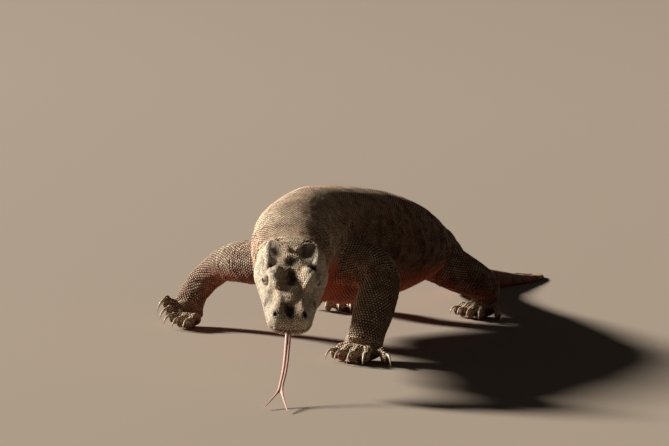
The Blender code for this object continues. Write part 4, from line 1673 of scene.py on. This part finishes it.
# Pieces of the coat on the spine: name, from and to along it, modelled scale, length against width.
SPINE_COATS = (
    ("scales_neck", 0.0, 0.610, "bead", 1.00),
    ("scales_shoulders", 0.610, 0.900, "bead", 1.00),
    ("scales_trunk", 0.900, 1.180, "bead", 1.04),
    ("scales_hips", 1.180, 1.560, "bead", 1.08),
    ("scales_tail_root", 1.560, 1.960, "plate", 1.22),
    ("scales_tail", 1.960, 2.900, "plate", 1.30),
)


class KOMODO_OT_head_scales(bpy.types.Operator):
    """Lay small irregular scales on the head and rows of scales along the lips"""

    bl_idname = "komodo.head_scales"
    bl_label = "Head scales"

    def execute(self, context):
        plan = coat()
        chosen = in_head_zone(plan.places) & plan.free
        ways = np.broadcast_to(-FORWARD, (chosen.sum(), 3))
        roots = plan.roots(chosen, ways, HEAD_HALF, HEAD_HALF, 0.15).with_more(plan.lips)
        places = Places(roots.points)
        uv = unwrap(places.s, places.angle)
        grow_scales("scales_head", roots, places, "bead", uv, 51)
        return {"FINISHED"}


class KOMODO_OT_spine_scales(bpy.types.Operator):
    """Lay scales in rings round neck, trunk and tail"""

    bl_idname = "komodo.spine_scales"
    bl_label = "Neck, trunk and tail scales"

    def execute(self, context):
        plan = coat()
        on_spine = (plan.places.limb < 0) & ~in_head_zone(plan.places) & plan.free
        for seed, (name, start, end, kind, longer) in enumerate(SPINE_COATS, 11):
            chosen = on_spine & (plan.places.s >= start) & (plan.places.s < end)
            spots = plan.places.spot[chosen]
            belly = smoothstep(1.8, 2.4, np.abs(plan.places.angle[chosen]))
            ways, lean = BODY.along[spots], 0.55 * (1.0 - belly)
            roots = plan.roots(chosen, ways, BODY_HALF * longer, BODY_HALF, lean)
            places = Places(roots.points)
            uv = unwrap(places.s, places.angle)
            grow_scales(name, roots, places, kind, uv, seed)
        return {"FINISHED"}


class KOMODO_OT_limb_scales(bpy.types.Operator):
    """Lay scales in rows across the upper and lower legs"""

    bl_idname = "komodo.limb_scales"
    bl_label = "Leg scales"

    def execute(self, context):
        plan = coat()
        for k, name in enumerate(LEG_NAMES):
            line = LEGS[name]
            chosen = (plan.places.limb == k) & ~plan.places.foot
            spots = plan.places.limb_spot[chosen]
            roots = plan.roots(chosen, line.along[spots], BODY_HALF, BODY_HALF, 0.50)
            uv = unwrap(line.s[spots], line.angle(roots.points, spots))
            grow_scales("scales_" + name, roots, Places(roots.points), "bead", uv, 31 + k)
        return {"FINISHED"}


class KOMODO_OT_foot_scales(bpy.types.Operator):
    """Lay small scales on hands and feet and broad plates along the toes"""

    bl_idname = "komodo.foot_scales"
    bl_label = "Foot scales"

    def execute(self, context):
        plan = coat()
        for k, name in enumerate(LEG_NAMES):
            palm = LEGS[name].points[-1]
            chosen = (plan.places.limb == k) & plan.places.foot
            outward = (plan.points[chosen] - palm) * (1.0, 1.0, 0.3)
            roots = plan.roots(chosen, outward, *FOOT_HALVES, 0.2).with_more(plan.toes[name])
            turn = np.arctan2(roots.points[:, 1] - palm[1], roots.points[:, 0] - palm[0])
            uv = unwrap(np.linalg.norm(roots.points - palm, axis=1), turn)
            places = Places(roots.points)
            grow_scales("scales_foot_" + name, roots, places, "bead", uv, 41 + k)
        return {"FINISHED"}


# ---------------------------------------------------------------- eyes, claws and tongue


class KOMODO_OT_eyes(bpy.types.Operator):
    """Model both eyeballs with a raised cornea"""

    bl_idname = "komodo.eyes"
    bl_label = "Eyes"

    def execute(self, context):
        finish = eye_material()
        for name, side in (("eye_left", 1.0), ("eye_right", -1.0)):
            centre, gaze, _, _ = eye_frame(side)
            deselect()
            bpy.ops.mesh.primitive_uv_sphere_add(segments=48, ring_count=32, radius=EYE_RADIUS)
            ball = bpy.context.object
            ball.name = "ball_" + name
            turn = Vector((0, 0, 1)).rotation_difference(Vector(gaze)).to_matrix().to_4x4()
            ball.matrix_world = Matrix.Translation(Vector(centre)) @ turn
            bpy.ops.object.transform_apply(location=True, rotation=True, scale=True)
            mesh = ball.data
            points = points_of(mesh)
            ways = (points - centre) / EYE_RADIUS
            off_gaze = np.arccos(np.clip(ways @ gaze, -1.0, 1.0)) / (0.5 * math.pi)
            points += ways * (CORNEA_HEIGHT * bell(off_gaze / 0.50))[:, None]
            put_points(mesh, points)
            paint_marks(mesh, {"off_gaze": off_gaze})
            mesh.materials.append(finish)
            mesh.shade_smooth()
            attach(ball, "root")
            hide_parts(name)
        return {"FINISHED"}


def smooth_copy(node, name, levels):
    """A CAD node with its faces subdivided and rounded."""
    obj = copy_of(node, name)
    modifier = obj.modifiers.new("Subdivision", "SUBSURF")
    modifier.levels = levels
    modifier.render_levels = levels
    choose(obj)
    bpy.ops.object.modifier_apply(modifier=modifier.name)
    obj.data.shade_smooth()
    return obj


class KOMODO_OT_claws(bpy.types.Operator):
    """Finish the twenty claws as smooth bent blades"""

    bl_idname = "komodo.claws"
    bl_label = "Claws"

    def execute(self, context):
        finish = claw_material(context.scene.komodo_colours)
        blades = []
        for node in claw_nodes():
            blade = smooth_copy(node, "blade", 2)
            root, tip = claw_axis(node)
            points = points_of(blade.data)
            reach = np.linalg.norm(points - root, axis=1) / np.linalg.norm(tip - root)
            paint_marks(blade.data, {"along": smoothstep(0.12, 0.55, reach)})
            blades.append(blade)
        claws = joined(blades, "claws")
        claws.data.materials.append(finish)
        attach(claws, "root")
        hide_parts(*claw_nodes())
        return {"FINISHED"}


class KOMODO_OT_tongue(bpy.types.Operator):
    """Finish the forked tongue"""

    bl_idname = "komodo.tongue"
    bl_label = "Tongue"

    def execute(self, context):
        tongue = smooth_copy("tongue", "forked_tongue", 2)
        points = points_of(tongue.data)
        _, left, _ = head_coordinates(points)
        reach = np.linalg.norm(points - SNOUT_TIP, axis=1)
        # Where painted shade darkens the tongue: along its middle and at the mouth.
        groove = bell(left / 0.0016) * smoothstep(0.20, 0.10, reach) * 0.8
        groove = np.maximum(groove, 0.8 * smoothstep(0.012, 0.0, reach))
        paint_marks(tongue.data, {"groove": groove})
        tongue.data.materials.append(tongue_material(context.scene.komodo_colours))
        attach(tongue, "root")
        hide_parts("tongue")
        return {"FINISHED"}


# ---------------------------------------------------------------- stage


def add_light(kind, name, place, power, colour):
    """A lamp added at its place and turned towards the animal."""
    way = Vector(LIGHT_TARGET) - Vector(place)
    turn = way.to_track_quat("-Z", "Y").to_euler()
    bpy.ops.object.light_add(type=kind, location=place, rotation=turn)
    lamp = bpy.context.object
    lamp.name = name
    lamp.data.energy = power
    lamp.data.color = colour
    return lamp


# The floor lies just under the feet. It goes on as a sweep that curves up far behind, so that no
# horizon shows.
FLOOR_DROP = 0.0008
FLOOR_COLOUR = (0.29, 0.235, 0.185, 1.0)
SWEEP_START, SWEEP_LENGTH, SWEEP_WIDTH = 15.0, 240.0, 200.0
SWEEP_CURVE, SWEEP_SLOPE = 60.0, math.radians(3.4)

# The camera's place, how far it turns left and down, and its roll.
CAMERA_PLACE = (2.4868, -4.9556, 0.7130)
CAMERA_TURN = math.radians(29.0)
CAMERA_DIP = math.radians(4.9203)
CAMERA_ROLL = math.radians(3.4)

LIGHT_TARGET = (0.0, -0.3, 0.15)
WORLD_COLOUR = (1.0, 0.92, 0.85, 1.0)
WORLD_STRENGTH = 0.028


def add_floor():
    """The floor and the sweep behind it."""
    bpy.ops.mesh.primitive_plane_add(size=400.0, location=(0.0, 0.0, -FLOOR_DROP))
    floor = bpy.context.object
    floor.name = "floor"
    made, _, shader = new_material("floor")
    shader.inputs["Base Color"].default_value = FLOOR_COLOUR
    shader.inputs["Roughness"].default_value = 0.9
    floor.data.materials.append(made)
    bpy.ops.mesh.primitive_grid_add(
        x_subdivisions=2,
        y_subdivisions=80,
        size=1.0,
        location=(0.0, 0.0, -FLOOR_DROP),
        rotation=(0.0, 0.0, CAMERA_TURN),
    )
    sweep = bpy.context.object
    sweep.name = "sweep"
    points = points_of(sweep.data)
    away = SWEEP_LENGTH * (points[:, 1] + 0.5)
    steep = math.tan(SWEEP_SLOPE)
    points[:, 0] *= SWEEP_WIDTH
    points[:, 1] = SWEEP_START + away
    curving = steep * away**2 / (2.0 * SWEEP_CURVE)
    points[:, 2] = np.where(away < SWEEP_CURVE, curving, steep * (away - 0.5 * SWEEP_CURVE))
    put_points(sweep.data, points)
    bpy.ops.object.shade_smooth()
    sweep.data.materials.append(made)


def add_lights(scene):
    """A faint world, a low key from the animal's right and a weak fill from the camera."""
    world = bpy.data.worlds.new("studio")
    scene.world = world
    world.use_nodes = True
    background = world.node_tree.nodes["Background"]
    background.inputs["Color"].default_value = WORLD_COLOUR
    background.inputs["Strength"].default_value = WORLD_STRENGTH
    key = add_light("SUN", "key", (-4.0, -0.8, 1.9), 9.6, (1.0, 0.94, 0.84))
    key.data.angle = math.radians(10.0)
    fill = add_light("AREA", "fill", (2.5, -5.0, 2.6), 0.8, (1.0, 0.90, 0.82))
    fill.data.size = 3.5


def add_camera(scene):
    """The camera, low and 4.5 m off the head, turned, tipped and rolled into place."""
    bpy.ops.object.camera_add()
    camera = bpy.context.object
    camera.data.sensor_width = 36.0
    camera.data.lens = scene.komodo_sizes.camera_focal
    level = math.cos(CAMERA_DIP)
    way = Vector(
        (-math.sin(CAMERA_TURN) * level, math.cos(CAMERA_TURN) * level, -math.sin(CAMERA_DIP))
    )
    aim = way.to_track_quat("-Z", "Y").to_matrix().to_4x4() @ Matrix.Rotation(CAMERA_ROLL, 4, "Z")
    camera.matrix_world = Matrix.Translation(CAMERA_PLACE) @ aim
    scene.camera = camera


class KOMODO_OT_stage(bpy.types.Operator):
    """Add the pale floor, soft light and the camera"""

    bl_idname = "komodo.stage"
    bl_label = "Stage"

    def execute(self, context):
        deselect()
        add_floor()
        add_lights(context.scene)
        add_camera(context.scene)
        context.scene.view_settings.view_transform = "Standard"
        return {"FINISHED"}


OPERATORS = (
    KOMODO_OT_skin,
    KOMODO_OT_eyes,
    KOMODO_OT_claws,
    KOMODO_OT_tongue,
    KOMODO_OT_head_scales,
    KOMODO_OT_spine_scales,
    KOMODO_OT_limb_scales,
    KOMODO_OT_foot_scales,
    KOMODO_OT_stage,
)


class KOMODO_PT_panel(bpy.types.Panel):
    """Lists the sizes, colours and steps"""

    bl_label = "Komodo Dragon"
    bl_idname = "KOMODO_PT_panel"
    bl_space_type = "VIEW_3D"
    bl_region_type = "UI"
    bl_category = "Komodo"

    def draw(self, context):
        for group in (context.scene.komodo_sizes, context.scene.komodo_colours):
            for name in group.__annotations__:
                self.layout.prop(group, name)
        for operator in OPERATORS:
            self.layout.operator(operator.bl_idname)


CLASSES = (KomodoSizes, KomodoColours, *OPERATORS, KOMODO_PT_panel)


def register():
    for cls in CLASSES:
        bpy.utils.register_class(cls)
    bpy.types.Scene.komodo_sizes = bpy.props.PointerProperty(type=KomodoSizes)
    bpy.types.Scene.komodo_colours = bpy.props.PointerProperty(type=KomodoColours)


def unregister():
    del bpy.types.Scene.komodo_colours
    del bpy.types.Scene.komodo_sizes
    for cls in reversed(CLASSES):
        bpy.utils.unregister_class(cls)


def main():
    register()
    bpy.ops.komodo.skin()
    bpy.ops.komodo.eyes()
    bpy.ops.komodo.claws()
    bpy.ops.komodo.tongue()
    bpy.ops.komodo.head_scales()
    bpy.ops.komodo.spine_scales()
    bpy.ops.komodo.limb_scales()
    bpy.ops.komodo.foot_scales()
    bpy.ops.komodo.stage()


if __name__ == "__main__":
    main()
